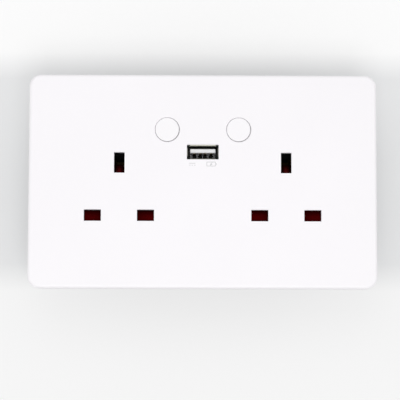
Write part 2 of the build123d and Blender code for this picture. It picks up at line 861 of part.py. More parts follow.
# Earth strap: out through a slot of the cover and forward against the frame's lug
with BuildPart() as earth_strap:
    with BuildSketch(Plane.YZ.offset(-strap_width / 2)):
        with BuildLine():
            FilletPolyline(
                (-earth_front - strip / 2, terminal_z + strap_lap),
                (-earth_front - strip / 2, strap_low + strip / 2),
                (-frame_back + strap_front, strap_low + strip / 2),
                radius=strap_bend,
            )
        trace(line_width=strip)
    extrude(amount=strap_width)
    with BuildSketch(Plane.XY.offset(strap_low)):
        with Locations((0, -strap_rivet_height)):
            Circle(strap_rivet_radius + strap_rivet_play)
    extrude(amount=strip, mode=Mode.SUBTRACT)
earth_strap.part.label = "earth_strap"
export_step(earth_strap.part, "parts/earth_strap.step")

# Rivet that bonds the strap to the lug
with BuildPart() as strap_rivet:
    for low, high, radius in (
        (strap_low - strap_rivet_cap, strap_low, strap_rivet_head),
        (strap_low, -window_half_z, strap_rivet_radius),
        (-window_half_z, -window_half_z + strap_rivet_cap, strap_rivet_head),
    ):
        with BuildSketch(Plane.XY.offset(low)):
            with Locations((0, -strap_rivet_height)):
                Circle(radius)
        extrude(amount=high - low)
strap_rivet.part.label = "strap_rivet"
export_step(strap_rivet.part, "parts/strap_rivet.step")

# Push switches: cap, plunger with its heart cam, latch pin, return spring, bridge and case
for side, x in zip(sides, buttons):
    with BuildPart() as button:
        with BuildSketch(front(flange_back)):
            with Locations((x, button_z)):
                Circle(button_radius + cap_flange)
        extrude(amount=cap_flange_thickness)
        with BuildSketch(front(flange_front)):
            with Locations((x, button_z)):
                Circle(button_radius)
        extrude(amount=cap_front - flange_front)
        fillet(button.faces().sort_by(Axis.Y)[0].edges(), button_edge)
        with BuildSketch(front(flange_back)):
            with Locations((x, button_z)):
                Rectangle(plunger_side + 2 * cap_fit, plunger_side + 2 * cap_fit)
        extrude(amount=cap_socket, mode=Mode.SUBTRACT)
    button.part.label = f"button_{side}"
    export_step(button.part, f"parts/button_{side}.step")

    cam_middle = latch_tip + button_travel / 2
    with BuildPart() as switch_plunger:
        with BuildSketch(front(bridge_front)):
            with Locations((x, button_z)):
                Rectangle(plunger_side, plunger_side)
        extrude(amount=flange_back + cap_socket - bridge_front)
        with BuildSketch(Plane.XY.offset(button_z + plunger_side / 2 - cam_depth)):
            with Locations((x, -cam_middle)):
                Rectangle(2 * cam_half, button_travel + 2 * cam_end)
                with BuildLine(mode=Mode.PRIVATE) as heart:
                    Polyline(
                        (0, heart_length / 2),
                        (-heart_half, -heart_length / 4),
                        (-heart_half / 2, -heart_length / 2),
                        (0, heart_notch - heart_length / 2),
                        (heart_half / 2, -heart_length / 2),
                        (heart_half, -heart_length / 4),
                        close=True,
                    )
                make_face(heart.edges(), mode=Mode.SUBTRACT)
        extrude(amount=cam_depth, mode=Mode.SUBTRACT)
    switch_plunger.part.label = f"switch_plunger_{side}"
    export_step(switch_plunger.part, f"parts/switch_plunger_{side}.step")

    pin_z = button_z + (plunger_side / 2 + case_height / 2 - case_wall) / 2
    pin_back = latch_tip - latch_length
    with BuildPart() as latch_pin:
        with BuildLine(Plane.YZ.offset(x - cam_lane)) as wire:
            FilletPolyline(
                (-latch_tip, button_z + plunger_side / 2 - cam_depth + slide_gap),
                (-latch_tip, pin_z),
                (-pin_back, pin_z),
                (-pin_back, button_z + case_height / 2 - slide_gap),
                radius=latch_bend,
            )
        with BuildSketch(Plane(origin=wire.line @ 0, z_dir=wire.line % 0)):
            Circle(latch_radius)
        sweep()
    latch_pin.part.label = f"latch_pin_{side}"
    export_step(latch_pin.part, f"parts/latch_pin_{side}.step")

    coil_low = case_front + button_wire / 2 + button_spring_clear
    coil_rise = flange_back - case_front - button_wire - 2 * button_spring_clear
    with BuildPart() as switch_spring:
        with BuildLine() as coil:
            Helix(
                coil_rise / button_spring_turns,
                coil_rise,
                button_spring_radius,
                center=(x, -coil_low, button_z),
                direction=(0, -1, 0),
            )
        with BuildSketch(Plane(origin=coil.line @ 0, z_dir=coil.line % 0)):
            Rectangle(button_wire, button_wire)
        sweep(is_frenet=True)
    switch_spring.part.label = f"switch_spring_{side}"
    export_step(switch_spring.part, f"parts/switch_spring_{side}.step")

    with BuildPart() as contact_bridge:
        with BuildSketch(front(bridge_back)):
            with Locations((x, button_z)):
                Rectangle(bridge_length, bridge_width)
        extrude(amount=bridge_thickness)
    contact_bridge.part.label = f"contact_bridge_{side}"
    export_step(contact_bridge.part, f"parts/contact_bridge_{side}.step")

    with BuildPart() as switch_case:
        with BuildSketch(front(case_back)):
            with Locations((x, button_z)):
                Rectangle(case_width, case_height)
        extrude(amount=case_front - case_back)
        with BuildSketch(front(case_back)):
            with Locations((x, button_z)):
                Rectangle(case_width - 2 * case_wall, case_height - 2 * case_wall)
        extrude(amount=case_front - case_top - case_back, mode=Mode.SUBTRACT)
        with BuildSketch(front(case_front - case_top)):
            with Locations((x, button_z)):
                Rectangle(plunger_side + 2 * plunger_play, plunger_side + 2 * plunger_play)
        extrude(amount=case_top, mode=Mode.SUBTRACT)
        with BuildSketch(Plane.XY.offset(button_z + case_height / 2 - case_wall)):
            with Locations((x - cam_lane, -pin_back)):
                Circle(latch_radius + latch_play)
        extrude(amount=case_wall, mode=Mode.SUBTRACT)
    switch_case.part.label = f"switch_case_{side}"
    export_step(switch_case.part, f"parts/switch_case_{side}.step")

# Contact rivets: the four fixed contacts that the bridges close on
with BuildPart() as contact_rivets:
    with BuildSketch(front(live_front)):
        for x in buttons:
            with Locations((x - contact_reach, button_z), (x + contact_reach, button_z)):
                Circle(rivet_radius)
    extrude(amount=rivet_height)
contact_rivets.part.label = "contact_rivets"
export_step(contact_rivets.part, "parts/contact_rivets.step")

# USB port: a drawn metal shell with four flared lips at its mouth, spring tabs and two legs in the board
bore_width = usb_width - 2 * usb_wall
bore_height = usb_height - 2 * usb_wall
lip_root = usb_mouth - usb_lip
lip_rise = usb_end_gap - usb_fit
lip_spread = usb_side_gap - usb_fit
with BuildPart() as usb_shell:
    with BuildSketch(front(board_front)):
        with Locations((0, usb_z)):
            RectangleRounded(usb_width, usb_height, usb_corner)
            RectangleRounded(bore_width, bore_height, usb_corner - usb_wall, mode=Mode.SUBTRACT)
    extrude(amount=lip_root - board_front)
    for sign in (-1, 1):
        outer = usb_z + sign * usb_height / 2
        with BuildSketch(Plane.YZ):
            with BuildLine():
                Polyline(
                    (-lip_root, outer),
                    (-lip_root, outer - sign * usb_wall),
                    (-usb_mouth, outer - sign * (usb_wall - lip_rise)),
                    (-usb_mouth, outer + sign * lip_rise),
                    close=True,
                )
            make_face()
        extrude(amount=usb_width / 2 - usb_lip_inset, both=True)
        outer = sign * usb_width / 2
        with BuildSketch(Plane.XY.offset(usb_z)):
            with BuildLine():
                Polyline(
                    (outer, -lip_root),
                    (outer - sign * usb_wall, -lip_root),
                    (outer - sign * (usb_wall - lip_spread), -usb_mouth),
                    (outer + sign * lip_spread, -usb_mouth),
                    close=True,
                )
            make_face()
        extrude(amount=usb_height / 2 - usb_lip_inset, both=True)
    with BuildSketch(Plane.XY.offset(usb_z - usb_height / 2)):
        for x in (-usb_tab_x, usb_tab_x):
            with Locations((x, usb_tab_inset + usb_tab_length / 2 - usb_mouth)):
                Rectangle(usb_tab_width + 2 * usb_tab_slit, usb_tab_length)
            with Locations((x, usb_tab_inset + (usb_tab_length - usb_tab_slit) / 2 - usb_mouth)):
                Rectangle(usb_tab_width, usb_tab_length - usb_tab_slit, mode=Mode.SUBTRACT)
    extrude(amount=usb_height, mode=Mode.SUBTRACT)
    with BuildSketch(front(board_front)):
        for sign in (-1, 1):
            with Locations((sign * (usb_width - usb_wall) / 2, usb_z)):
                Rectangle(usb_wall, usb_leg_width)
    extrude(amount=-board_thickness - usb_leg_stand)
usb_shell.part.label = "usb_shell"
export_step(usb_shell.part, "parts/usb_shell.step")

# Tongue: moulded with a base that fills the shell, and a block with a channel for each contact
tongue_top = usb_z + bore_height / 2 - tongue_drop
tongue_low = tongue_top - tongue_height
tongue_front = usb_mouth - tongue_recess
with BuildPart() as usb_tongue:
    with BuildSketch(front(board_front)):
        with Locations((0, usb_z)):
            RectangleRounded(bore_width - 2 * usb_fit, bore_height - 2 * usb_fit, usb_corner - usb_wall)
    extrude(amount=usb_base)
    block_low = usb_z - bore_height / 2 + usb_fit
    block_front = board_front + usb_base + usb_block
    with BuildSketch(front(board_front)):
        with Locations((0, (tongue_top + block_low) / 2)):
            Rectangle(tongue_width, tongue_top - block_low)
    extrude(amount=block_front - board_front)
    with BuildSketch(front(board_front + usb_base)):
        with Locations(*[(x, (tongue_low + block_low) / 2) for x in usb_contact_spread]):
            Rectangle(usb_channel, tongue_low - block_low)
    extrude(amount=usb_block, mode=Mode.SUBTRACT)
    with BuildSketch(front(board_front)):
        with Locations((0, (tongue_top + tongue_low) / 2)):
            Rectangle(tongue_width, tongue_height)
    extrude(amount=tongue_front - board_front)
    chamfer(usb_tongue.faces().sort_by(Axis.Y)[0].edges(), tongue_nose)
usb_tongue.part.label = "usb_tongue"
export_step(usb_tongue.part, "parts/usb_tongue.step")

# Contacts: four strips that run along the tongue and bow down to meet the plug
contact_z = tongue_low - usb_contact_thickness / 2
contact_tip = tongue_front - usb_contact_inset
with BuildPart() as usb_contacts:
    for x in usb_contact_spread:
        with BuildSketch(Plane.YZ.offset(x)):
            with BuildLine():
                FilletPolyline(
                    (-board_front - usb_base, contact_z),
                    (-contact_tip + 2 * usb_contact_run, contact_z),
                    (-contact_tip + usb_contact_run, contact_z - usb_contact_bow),
                    (-contact_tip, contact_z - usb_fit),
                    radius=usb_contact_bend,
                )
            trace(line_width=usb_contact_thickness)
        extrude(amount=usb_contact_width / 2, both=True)
usb_contacts.part.label = "usb_contacts"
export_step(usb_contacts.part, "parts/usb_contacts.step")

# Charger board, standing parallel to the wall behind the USB port
leg_slot = usb_wall + 2 * usb_leg_play
feed_points = [(feed_neutral_x, board_bottom + feed_neutral_inset), (feed_live_x, feed_live_z)]
with BuildPart() as charger_board:
    with BuildSketch(front(board_back)):
        with Locations((0, (board_top + board_bottom) / 2)):
            Rectangle(board_width, board_top - board_bottom)
        with Locations(*feed_points):
            Circle(feed_pin_radius + feed_pin_play, mode=Mode.SUBTRACT)
        for sign in (-1, 1):
            with Locations((sign * (usb_width - usb_wall) / 2, usb_z)):
                Rectangle(leg_slot, usb_leg_width + 2 * usb_leg_play, mode=Mode.SUBTRACT)
    extrude(amount=board_thickness)
charger_board.part.label = "charger_board"
export_step(charger_board.part, "parts/charger_board.step")

# Feed pins: from the neutral bar and the live bar through the board
with BuildPart() as feed_pins:
    for point, start in zip(feed_points, (neutral_front, live_front)):
        with BuildSketch(front(start)):
            with Locations(point):
                Circle(feed_pin_radius)
        extrude(amount=board_front + feed_pin_stand - start)
feed_pins.part.label = "feed_pins"
export_step(feed_pins.part, "parts/feed_pins.step")

# Transformer: a ferrite core with two windows, a bobbin on its middle leg and the coil on the bobbin
core_window = (core_width - core_leg) / 2 - core_yoke
core_middle = board_front + core_height / 2
with BuildPart() as transformer_core:
    with BuildSketch(Plane.XY.offset(transformer_z - core_depth / 2)):
        with Locations((transformer_x, -core_middle)):
            Rectangle(core_width, core_height)
        window_offset = (core_leg + core_window) / 2
        for offset in (-window_offset, window_offset):
            with Locations((transformer_x + offset, -core_middle)):
                Rectangle(core_window, core_height - 2 * core_yoke, mode=Mode.SUBTRACT)
    extrude(amount=core_depth)
transformer_core.part.label = "transformer_core"
export_step(transformer_core.part, "parts/transformer_core.step")

bobbin_low = board_front + core_yoke + coil_gap
bobbin_length = core_height - 2 * core_yoke - 2 * coil_gap
bobbin_bore = (core_leg + 2 * coil_gap, core_depth + 2 * coil_gap)
bobbin_tube = (bobbin_bore[0] + 2 * bobbin_wall, bobbin_bore[1] + 2 * bobbin_wall)
bobbin_size = (core_leg + 2 * core_window - 2 * coil_gap, core_depth + 2 * coil_overhang)
with BuildPart() as transformer_bobbin:
    for low, length, size in (
        (bobbin_low, bobbin_length, bobbin_tube),
        (bobbin_low, bobbin_wall, bobbin_size),
        (bobbin_low + bobbin_length - bobbin_wall, bobbin_wall, bobbin_size),
    ):
        with BuildSketch(front(low)):
            with Locations((transformer_x, transformer_z)):
                Rectangle(size[0], size[1])
        extrude(amount=length)
    with BuildSketch(front(bobbin_low)):
        with Locations((transformer_x, transformer_z)):
            Rectangle(bobbin_bore[0], bobbin_bore[1])
    extrude(amount=bobbin_length, mode=Mode.SUBTRACT)
transformer_bobbin.part.label = "transformer_bobbin"
export_step(transformer_bobbin.part, "parts/transformer_bobbin.step")

with BuildPart() as transformer_coil:
    with BuildSketch(front(bobbin_low + bobbin_wall)):
        with Locations((transformer_x, transformer_z)):
            Rectangle(bobbin_size[0] - 2 * coil_inset, bobbin_size[1] - 2 * coil_inset)
            Rectangle(bobbin_tube[0], bobbin_tube[1], mode=Mode.SUBTRACT)
    extrude(amount=bobbin_length - 2 * bobbin_wall)
transformer_coil.part.label = "transformer_coil"
export_step(transformer_coil.part, "parts/transformer_coil.step")

# Electrolytic capacitors standing on the board, each with the groove that holds its seal
cans = {
    "input_capacitor": (input_can_x, input_can_z, input_can_radius, input_can_height),
    "output_capacitor": (output_can_x, output_can_z, output_can_radius, output_can_height),
}
for name, (x, z, radius, height) in cans.items():
    with BuildPart() as can:
        with BuildSketch(front(board_front)):
            with Locations((x, z)):
                Circle(radius)
        extrude(amount=height)
        fillet(can.faces().sort_by(Axis.Y)[0].edges(), can_edge)
        with BuildSketch(front(board_front + can_groove_height)):
            with Locations((x, z)):
                Circle(radius)
                Circle(radius - can_groove_depth, mode=Mode.SUBTRACT)
        extrude(amount=can_groove, mode=Mode.SUBTRACT)
    can.part.label = name
    export_step(can.part, f"parts/{name}.step")

# Moulded chips on the front of the board, with leads bent down to it above and below
chips = {
    "rectifier": (rectifier_x, rectifier_z, rectifier_size, rectifier_leads),
    "controller_chip": (chip_x, chip_z, chip_size, chip_leads),
}
for name, (x, z, size, leads) in chips.items():
    foot_y = -board_front - lead_sheet / 2
    root_y = -board_front - size[2] / 2
    with BuildPart() as chip:
        with BuildSketch(front(board_front)):
            with Locations((x, z)):
                Rectangle(size[0], size[1])
        extrude(amount=size[2])
        for lead in leads:
            for sign in (-1, 1):
                edge = z + sign * size[1] / 2
                with BuildSketch(Plane.YZ.offset(x + lead)):
                    with BuildLine():
                        FilletPolyline(
                            (root_y, edge - sign * lead_root),
                            (root_y, edge + sign * lead_knee),
                            (foot_y, edge + sign * lead_knee),
                            (foot_y, edge + sign * lead_foot),
                            radius=lead_bend,
                        )
                    trace(line_width=lead_sheet)
                extrude(amount=lead_width / 2, both=True)
    chip.part.label = name
    export_step(chip.part, f"parts/{name}.step")

# Fuse resistor lying on the back of the board, with its leads bent to the board
fuse_y = -board_back + fuse_radius + usb_fit
with BuildPart() as fuse_resistor:
    with BuildSketch(Plane.YZ.offset(fuse_x - fuse_length / 2)):
        with Locations((fuse_y, fuse_z)):
            Circle(fuse_radius)
    extrude(amount=fuse_length)
    for sign in (-1, 1):
        with BuildLine(Plane.XY.offset(fuse_z)) as lead:
            FilletPolyline(
                (fuse_x + sign * (fuse_length / 2 - fuse_lead_reach), fuse_y),
                (fuse_x + sign * (fuse_length / 2 + fuse_lead_reach), fuse_y),
                (fuse_x + sign * (fuse_length / 2 + fuse_lead_reach), -board_back),
                radius=fuse_lead_bend,
            )
        with BuildSketch(Plane(origin=lead.line @ 0, z_dir=lead.line % 0)):
            Circle(fuse_lead_radius)
        sweep(path=lead.line)
fuse_resistor.part.label = "fuse_resistor"
export_step(fuse_resistor.part, "parts/fuse_resistor.step")

# Disc capacitor standing on two legs on the front of the board
with BuildPart() as safety_capacitor:
    with BuildSketch(Plane.YZ.offset(disc_x - disc_thickness / 2)):
        with Locations((-board_front - disc_radius - usb_fit, disc_z)):
            Circle(disc_radius)
    extrude(amount=disc_thickness)
    with BuildSketch(front(board_front)):
        with Locations((disc_x, disc_z - disc_leg_spread), (disc_x, disc_z + disc_leg_spread)):
            Circle(disc_leg_radius)
    extrude(amount=disc_radius)
safety_capacitor.part.label = "safety_capacitor"
export_step(safety_capacitor.part, "parts/safety_capacitor.step")
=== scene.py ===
"""Looks of a double wall socket with push switches and a USB port, around its packed solids."""

import json
import math

import bpy
import numpy as np
from bpy.props import FloatProperty, FloatVectorProperty, IntProperty, PointerProperty
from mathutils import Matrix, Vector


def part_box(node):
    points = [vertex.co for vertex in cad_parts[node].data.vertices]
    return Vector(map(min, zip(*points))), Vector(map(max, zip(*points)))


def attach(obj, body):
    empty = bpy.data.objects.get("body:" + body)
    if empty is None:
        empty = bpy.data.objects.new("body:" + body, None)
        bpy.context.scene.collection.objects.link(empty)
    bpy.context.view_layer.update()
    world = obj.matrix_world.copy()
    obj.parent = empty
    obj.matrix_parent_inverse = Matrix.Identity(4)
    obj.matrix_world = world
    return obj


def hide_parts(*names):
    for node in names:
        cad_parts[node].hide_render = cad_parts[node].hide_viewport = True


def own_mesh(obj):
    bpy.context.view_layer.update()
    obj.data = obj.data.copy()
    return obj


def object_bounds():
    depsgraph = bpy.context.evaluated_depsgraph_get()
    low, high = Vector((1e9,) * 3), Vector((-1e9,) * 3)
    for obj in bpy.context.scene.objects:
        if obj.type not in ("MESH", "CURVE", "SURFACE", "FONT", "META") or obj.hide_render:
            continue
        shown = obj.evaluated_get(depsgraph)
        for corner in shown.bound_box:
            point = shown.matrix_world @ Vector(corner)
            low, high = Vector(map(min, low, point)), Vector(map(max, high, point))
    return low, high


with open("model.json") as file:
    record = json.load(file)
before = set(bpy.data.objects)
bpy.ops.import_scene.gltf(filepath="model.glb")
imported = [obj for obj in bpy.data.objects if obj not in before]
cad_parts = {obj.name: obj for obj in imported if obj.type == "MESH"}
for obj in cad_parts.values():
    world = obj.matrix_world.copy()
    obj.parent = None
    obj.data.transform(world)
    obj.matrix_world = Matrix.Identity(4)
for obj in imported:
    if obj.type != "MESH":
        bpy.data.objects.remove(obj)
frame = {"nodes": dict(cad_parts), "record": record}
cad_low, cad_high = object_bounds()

bl_info = {
    "name": "Wall socket looks",
    "version": (1, 0, 0),
    "blender": (4, 5, 0),
    "location": "3D View > Sidebar > Socket",
    "description": "Finishes, springs, signs, light and camera of a double wall socket",
    "category": "Object",
}

# Lengths are metres in the frame of the solids: X right, Z up, the front faces -Y
SIDES = ("left", "right")

# Turn of the camera about X, Y and Z
CAMERA_TURN = [math.radians(angle) for angle in (95.904, -0.148, -0.461)]

# A wave texture of scale 1 runs through this many radians in a metre
WAVE_RATE = 20.0

# Numbers of a mix node's two colour inputs and of its colour output
MIX_FIRST, MIX_SECOND, MIX_RESULT = 6, 7, 2

# Rings of the fuse resistor: where each starts along the body, as a share, and its colour
RESISTOR_RINGS = (
    (0.2, (0.2, 0.07, 0.02)),
    (0.4, (0.01, 0.01, 0.01)),
    (0.6, (0.45, 0.02, 0.02)),
    (0.82, (0.7, 0.5, 0.2)),
)
RESISTOR_RING_WIDTH = 0.08


# Settings


def colour(name, description, default):
    """A colour that a user may change."""
    return FloatVectorProperty(
        name=name, description=description, default=default, subtype="COLOR", size=3, min=0.0, max=1.0
    )


def length(name, description, default):
    """A length that a user may change."""
    return FloatProperty(
        name=name, description=description, default=default, subtype="DISTANCE", precision=5
    )


def place_at(name, description, default, subtype="TRANSLATION"):
    """A place, a shift or a turn in space that a user may change."""
    return FloatVectorProperty(
        name=name, description=description, default=default, subtype=subtype, precision=5
    )


def number(name, description, default, **limits):
    """A plain number that a user may change."""
    return FloatProperty(name=name, description=description, default=default, **limits)


class SocketColours(bpy.types.PropertyGroup):
    """Colours of the finishes."""

    plate: colour("Plate", "White of the front plate", (0.945, 0.926, 0.952))
    button: colour("Buttons", "White of the two button caps", (0.945, 0.93, 0.95))
    shutter: colour("Shutters", "Dark red of the safety shutters", (0.06, 0.0008, 0.0012))
    # Painted light: the ramps' red is far lighter than the shutters' own red, standing in for light on them
    ramp: colour("Ramps", "Polished red of the shutters' ramps", (0.24, 0.016, 0.018))
    moulding: colour("Body", "Black of the inner mouldings", (0.012, 0.012, 0.0125))
    cover: colour("Rear cover", "Black of the rear cover", (0.02, 0.02, 0.0205))
    switch: colour("Switch cases", "Black of the switch cases", (0.03, 0.03, 0.033))
    plunger: colour("Plungers", "White of the switch plungers", (0.8, 0.8, 0.78))
    steel: colour("Frame", "Galvanised steel of the mounting frame", (0.6, 0.62, 0.64))
    zinc: colour("Screws", "Zinc plating of the body screws", (0.68, 0.68, 0.66))
    spring: colour("Springs", "Drawn steel of the springs and latch pins", (0.48, 0.48, 0.5))
    brass: colour("Terminals", "Brass of the terminals and their screws", (0.8, 0.6, 0.28))
    # Painted shade: the brass is darkened to stand in for the shade deep in the slots, where its jaws show
    strip: colour("Contacts", "Brown rolled brass of the contacts and straps", (0.13, 0.09, 0.042))
    copper: colour("Bridges", "Copper of the switch bridges", (0.8, 0.43, 0.28))
    silver: colour("Contact rivets", "Silver of the fixed contacts", (0.82, 0.82, 0.8))
    # The nickel also gives the painted light on the shell's upper inner lip
    nickel: colour("Port shell", "Nickel of the port's lips and outside", (0.53, 0.53, 0.46))
    # Painted shade: a near black standing in for the shade inside the port's shell and behind its tongue
    bore_shade: colour("Port bore", "Dull metal inside the port's shell", (0.022, 0.027, 0.024))
    tongue: colour("Port tongue", "White of the port's tongue", (0.81, 0.81, 0.82))
    # Painted shade: the gold is darkened to stand in for the shade under the port's tongue
    gold: colour("Port contacts", "Dull gold flash of the port's contacts", (0.15, 0.125, 0.08))
    board: colour("Charger board", "Green lacquer of the charger board", (0.02, 0.16, 0.06))
    ferrite: colour("Ferrite", "Grey of the transformer's core", (0.07, 0.07, 0.075))
    tape: colour("Coil tape", "Yellow tape round the transformer's coil", (0.75, 0.5, 0.05))
    sleeve: colour("Capacitor sleeves", "Dark sleeves of the capacitors", (0.02, 0.025, 0.06))
    stripe: colour("Sleeve stripes", "Pale stripe down each capacitor's sleeve", (0.55, 0.56, 0.58))
    can: colour("Capacitor tops", "Bare metal of the capacitors' tops", (0.66, 0.67, 0.68))
    chip: colour("Chips", "Moulded black of the chips", (0.025, 0.025, 0.027))
    fuse: colour("Fuse resistor", "Lacquer of the fuse resistor", (0.3, 0.42, 0.35))
    disc: colour("Disc capacitor", "Blue dip of the disc capacitor", (0.03, 0.12, 0.4))
    tin: colour("Leads", "Tinned leads of the chips, the resistor and the disc", (0.7, 0.7, 0.71))
    sign: colour("Port sign", "Grey print below the port", (0.66, 0.66, 0.67))


class SocketShading(bpy.types.PropertyGroup):
    """Places of the painted shade in the buttons' seams and behind the line slots."""

    button_radius: length("Button radius", "Radius of the button caps' edge", 0.005)
    # Painted shade: a darker ring in the seam round each button, heavier to the lower right
    seam_width: length("Seam width", "Width of the dust on each side of that edge", 0.0002)
    seam_shade_drift: place_at("Seam drift", "How far the dust lies right and down", (0.00018, 0.0, -0.00012))
    # Where the painted shade and painted light behind the line slots lie
    slot_level: length("Slot level", "Height of the line slots' middle", -0.0145)
    slot_height: length("Slot height", "Height of a line slot", 0.0048)
    slot_near: length("Slot near end", "From an outlet's middle to a line slot's near end", 0.0075)
    slot_far: length("Slot far end", "From an outlet's middle to a line slot's far end", 0.0147)


class SocketSprings(bpy.types.PropertyGroup):
    """Sizes of the springs and threads."""

    coil_wire: length("Coil wire", "Diameter of the switch springs' wire", 0.0005)
    coil_turns: number("Coil turns", "Turns of a switch spring", 2.6, min=1.0)
    coil_end: number("Coil end", "Share of the wire at each end that lies flat", 0.08, min=0.0, max=0.4)
    leaf_sheet: length("Leaf thickness", "Thickness of the shutter springs' strip", 0.00035)
    leaf_bend: length("Leaf bend", "Length of strip that each fold of a shutter spring takes", 0.0011)
    leaf_folds: IntProperty(name="Leaf folds", description="Folds of a shutter spring", default=5, min=2)
    thread_root: length("Thread root", "Radius of the terminal screws at the thread's foot", 0.00188)
    thread_pitch: length("Thread pitch", "Pitch of the terminal screws' thread", 0.0007)
    thread_depth: length("Thread depth", "Height of the terminal screws' thread", 0.0002)
    thread_start: length("Thread start", "From a terminal's face to the first turn of the thread", 0.0001)
    thread_end: length("Thread end", "From the last turn of the thread to the screw head's top", 0.0019)


class SocketSigns(bpy.types.PropertyGroup):
    """Sizes of the printed and moulded signs."""

    port_height: length("Port sign", "Height of the printed signs below the port", 0.002)
    port_drop: length("Port sign drop", "Distance of the printed signs' middle below the port", 0.002)
    port_stroke: length("Port stroke", "Line width of the printed signs", 0.00026)
    current_place: number("Current sign", "Place beside the port's middle, in sign heights", -2.2)
    cell_place: number("Cell sign", "Place beside the port's middle, in sign heights", 1.8)
    print_rise: length("Print thickness", "Thickness of the printed ink", 0.00002)
    cover_wall: length("Cover wall", "Thickness of the rear cover behind the terminals", 0.002)
    terminal_height: length("Terminal signs", "Height of the moulded signs at the terminals", 0.0034)
    terminal_rise: length("Terminal relief", "Height of the moulded signs above the cover", 0.0005)
    terminal_stroke: length("Terminal stroke", "Line width of the moulded signs", 0.0007)
    terminal_gap: length("Terminal sign gap", "Distance of the moulded signs above the screw holes", 0.0031)


class SocketStage(bpy.types.PropertyGroup):
    """Camera, light, floor and backdrop."""

    camera_place: place_at("Camera place", "Below the plate's middle", (-0.00651, -0.7, -0.07961))
    camera_turn: place_at("Camera turn", "Up at the plate by about six degrees", CAMERA_TURN, "EULER")
    camera_lens: number("Lens", "Focal length of the camera", 149.72, subtype="DISTANCE_CAMERA")
    camera_sensor: number("Sensor", "Width of the camera's sensor", 36.0, subtype="DISTANCE_CAMERA")
    backdrop_gap: length("Backdrop gap", "Room between the socket's back and the backdrop", 0.004)
    floor_gap: length("Floor gap", "Room between the socket's lower edge and the backdrop's foot", 0.12)
    floor_sink: length("Floor sink", "How far the floor lies below the backdrop's foot", 0.0005)
    cove: length("Cove radius", "Radius between the backdrop's foot and its wall", 0.05)
    stage_size: length("Stage size", "Half the width of the floor and the backdrop", 2.0)
    paper: colour("Paper", "Own shade of the backdrop", (0.6, 0.6, 0.6))
    foot: colour("Paper foot", "Own shade of the floor and the backdrop's foot", (0.3, 0.3, 0.3))
    upper: colour("Upper glow", "Glow of the backdrop above the socket", (0.405, 0.405, 0.405))
    # Painted shadow: a lower glow level with the socket, fading out to each side
    shadow_band: colour("Band glow", "Glow of the backdrop level with the socket", (0.24, 0.245, 0.25))
    lower: colour("Lower glow", "Glow of the floor and the backdrop's foot", (0.633, 0.633, 0.633))
    band_top: length("Band top", "Height where the band ends above", 0.0568)
    band_low: length("Band foot", "Height where the band ends below", -0.038)
    band_reach: length("Band reach", "Distance to each side where the band starts to fade", 0.09)
    band_fade: length("Band fade", "Half the height over which the band fades", 0.006)
    beyond: colour("Beyond", "White that the camera and mirrors see past the stage", (0.95, 0.95, 0.95))
    room: number("Room light", "Strength of the even light", 0.66, min=0.0)
    key: number("Key lamp", "Power of the lamp above the camera", 2.2, unit="POWER")
    fill: number("Fill lamp", "Power of the lamp below the camera", 4.0, unit="POWER")
    back: number("Back lamps", "Power of each lamp behind", 6.0, unit="POWER")
    key_place: place_at("Key place", "Where the key lamp stands", (-0.15, -1.3, 0.5))
    fill_place: place_at("Fill place", "Where the fill lamp stands", (0.05, -1.2, -0.43))
    back_place: place_at("Back place", "Where the right back lamp stands", (0.9, 1.25, 0.7))
    fill_size: length("Fill size", "Side of the square fill lamp", 0.45)
    lamp_size: length("Lamp size", "Side of each other square lamp", 0.7)


# Materials


def shade(rgb, factor):
    """A colour made darker or lighter by one factor."""
    return tuple(min(1.0, channel * factor) for channel in rgb)


def opaque(rgb):
    """A colour with its alpha, or a node's output as it is."""
    return rgb if isinstance(rgb, bpy.types.NodeSocket) else (*rgb, 1.0)


class Nodes:
    """The nodes of a material or of the world."""

    def __init__(self, owner):
        owner.use_nodes = True
        self.tree = owner.node_tree

    def feed(self, node, inputs):
        """Links each of a node's inputs, by name or number, to an output, or sets its value."""
        for key, value in inputs.items():
            if isinstance(value, bpy.types.NodeSocket):
                self.tree.links.new(value, node.inputs[key])
            else:
                node.inputs[key].default_value = value

    def node(self, kind, inputs=None, **settings):
        """A new shader node of a kind, with its settings and inputs."""
        made = self.tree.nodes.new(f"ShaderNode{kind}")
        for key, value in settings.items():
            setattr(made, key, value)
        self.feed(made, inputs or {})
        return made

    def step(self, operation, first, second=0.0):
        """One step of arithmetic on values."""
        return self.node("Math", {0: first, 1: second}, operation=operation).outputs["Value"]

    def show(self, share, first, second, output):
        """Sends the first shader to an output node, or the second where share is one."""
        choice = self.node("MixShader", {0: share, 1: first, 2: second})
        self.feed(self.tree.nodes[output], {"Surface": choice.outputs["Shader"]})


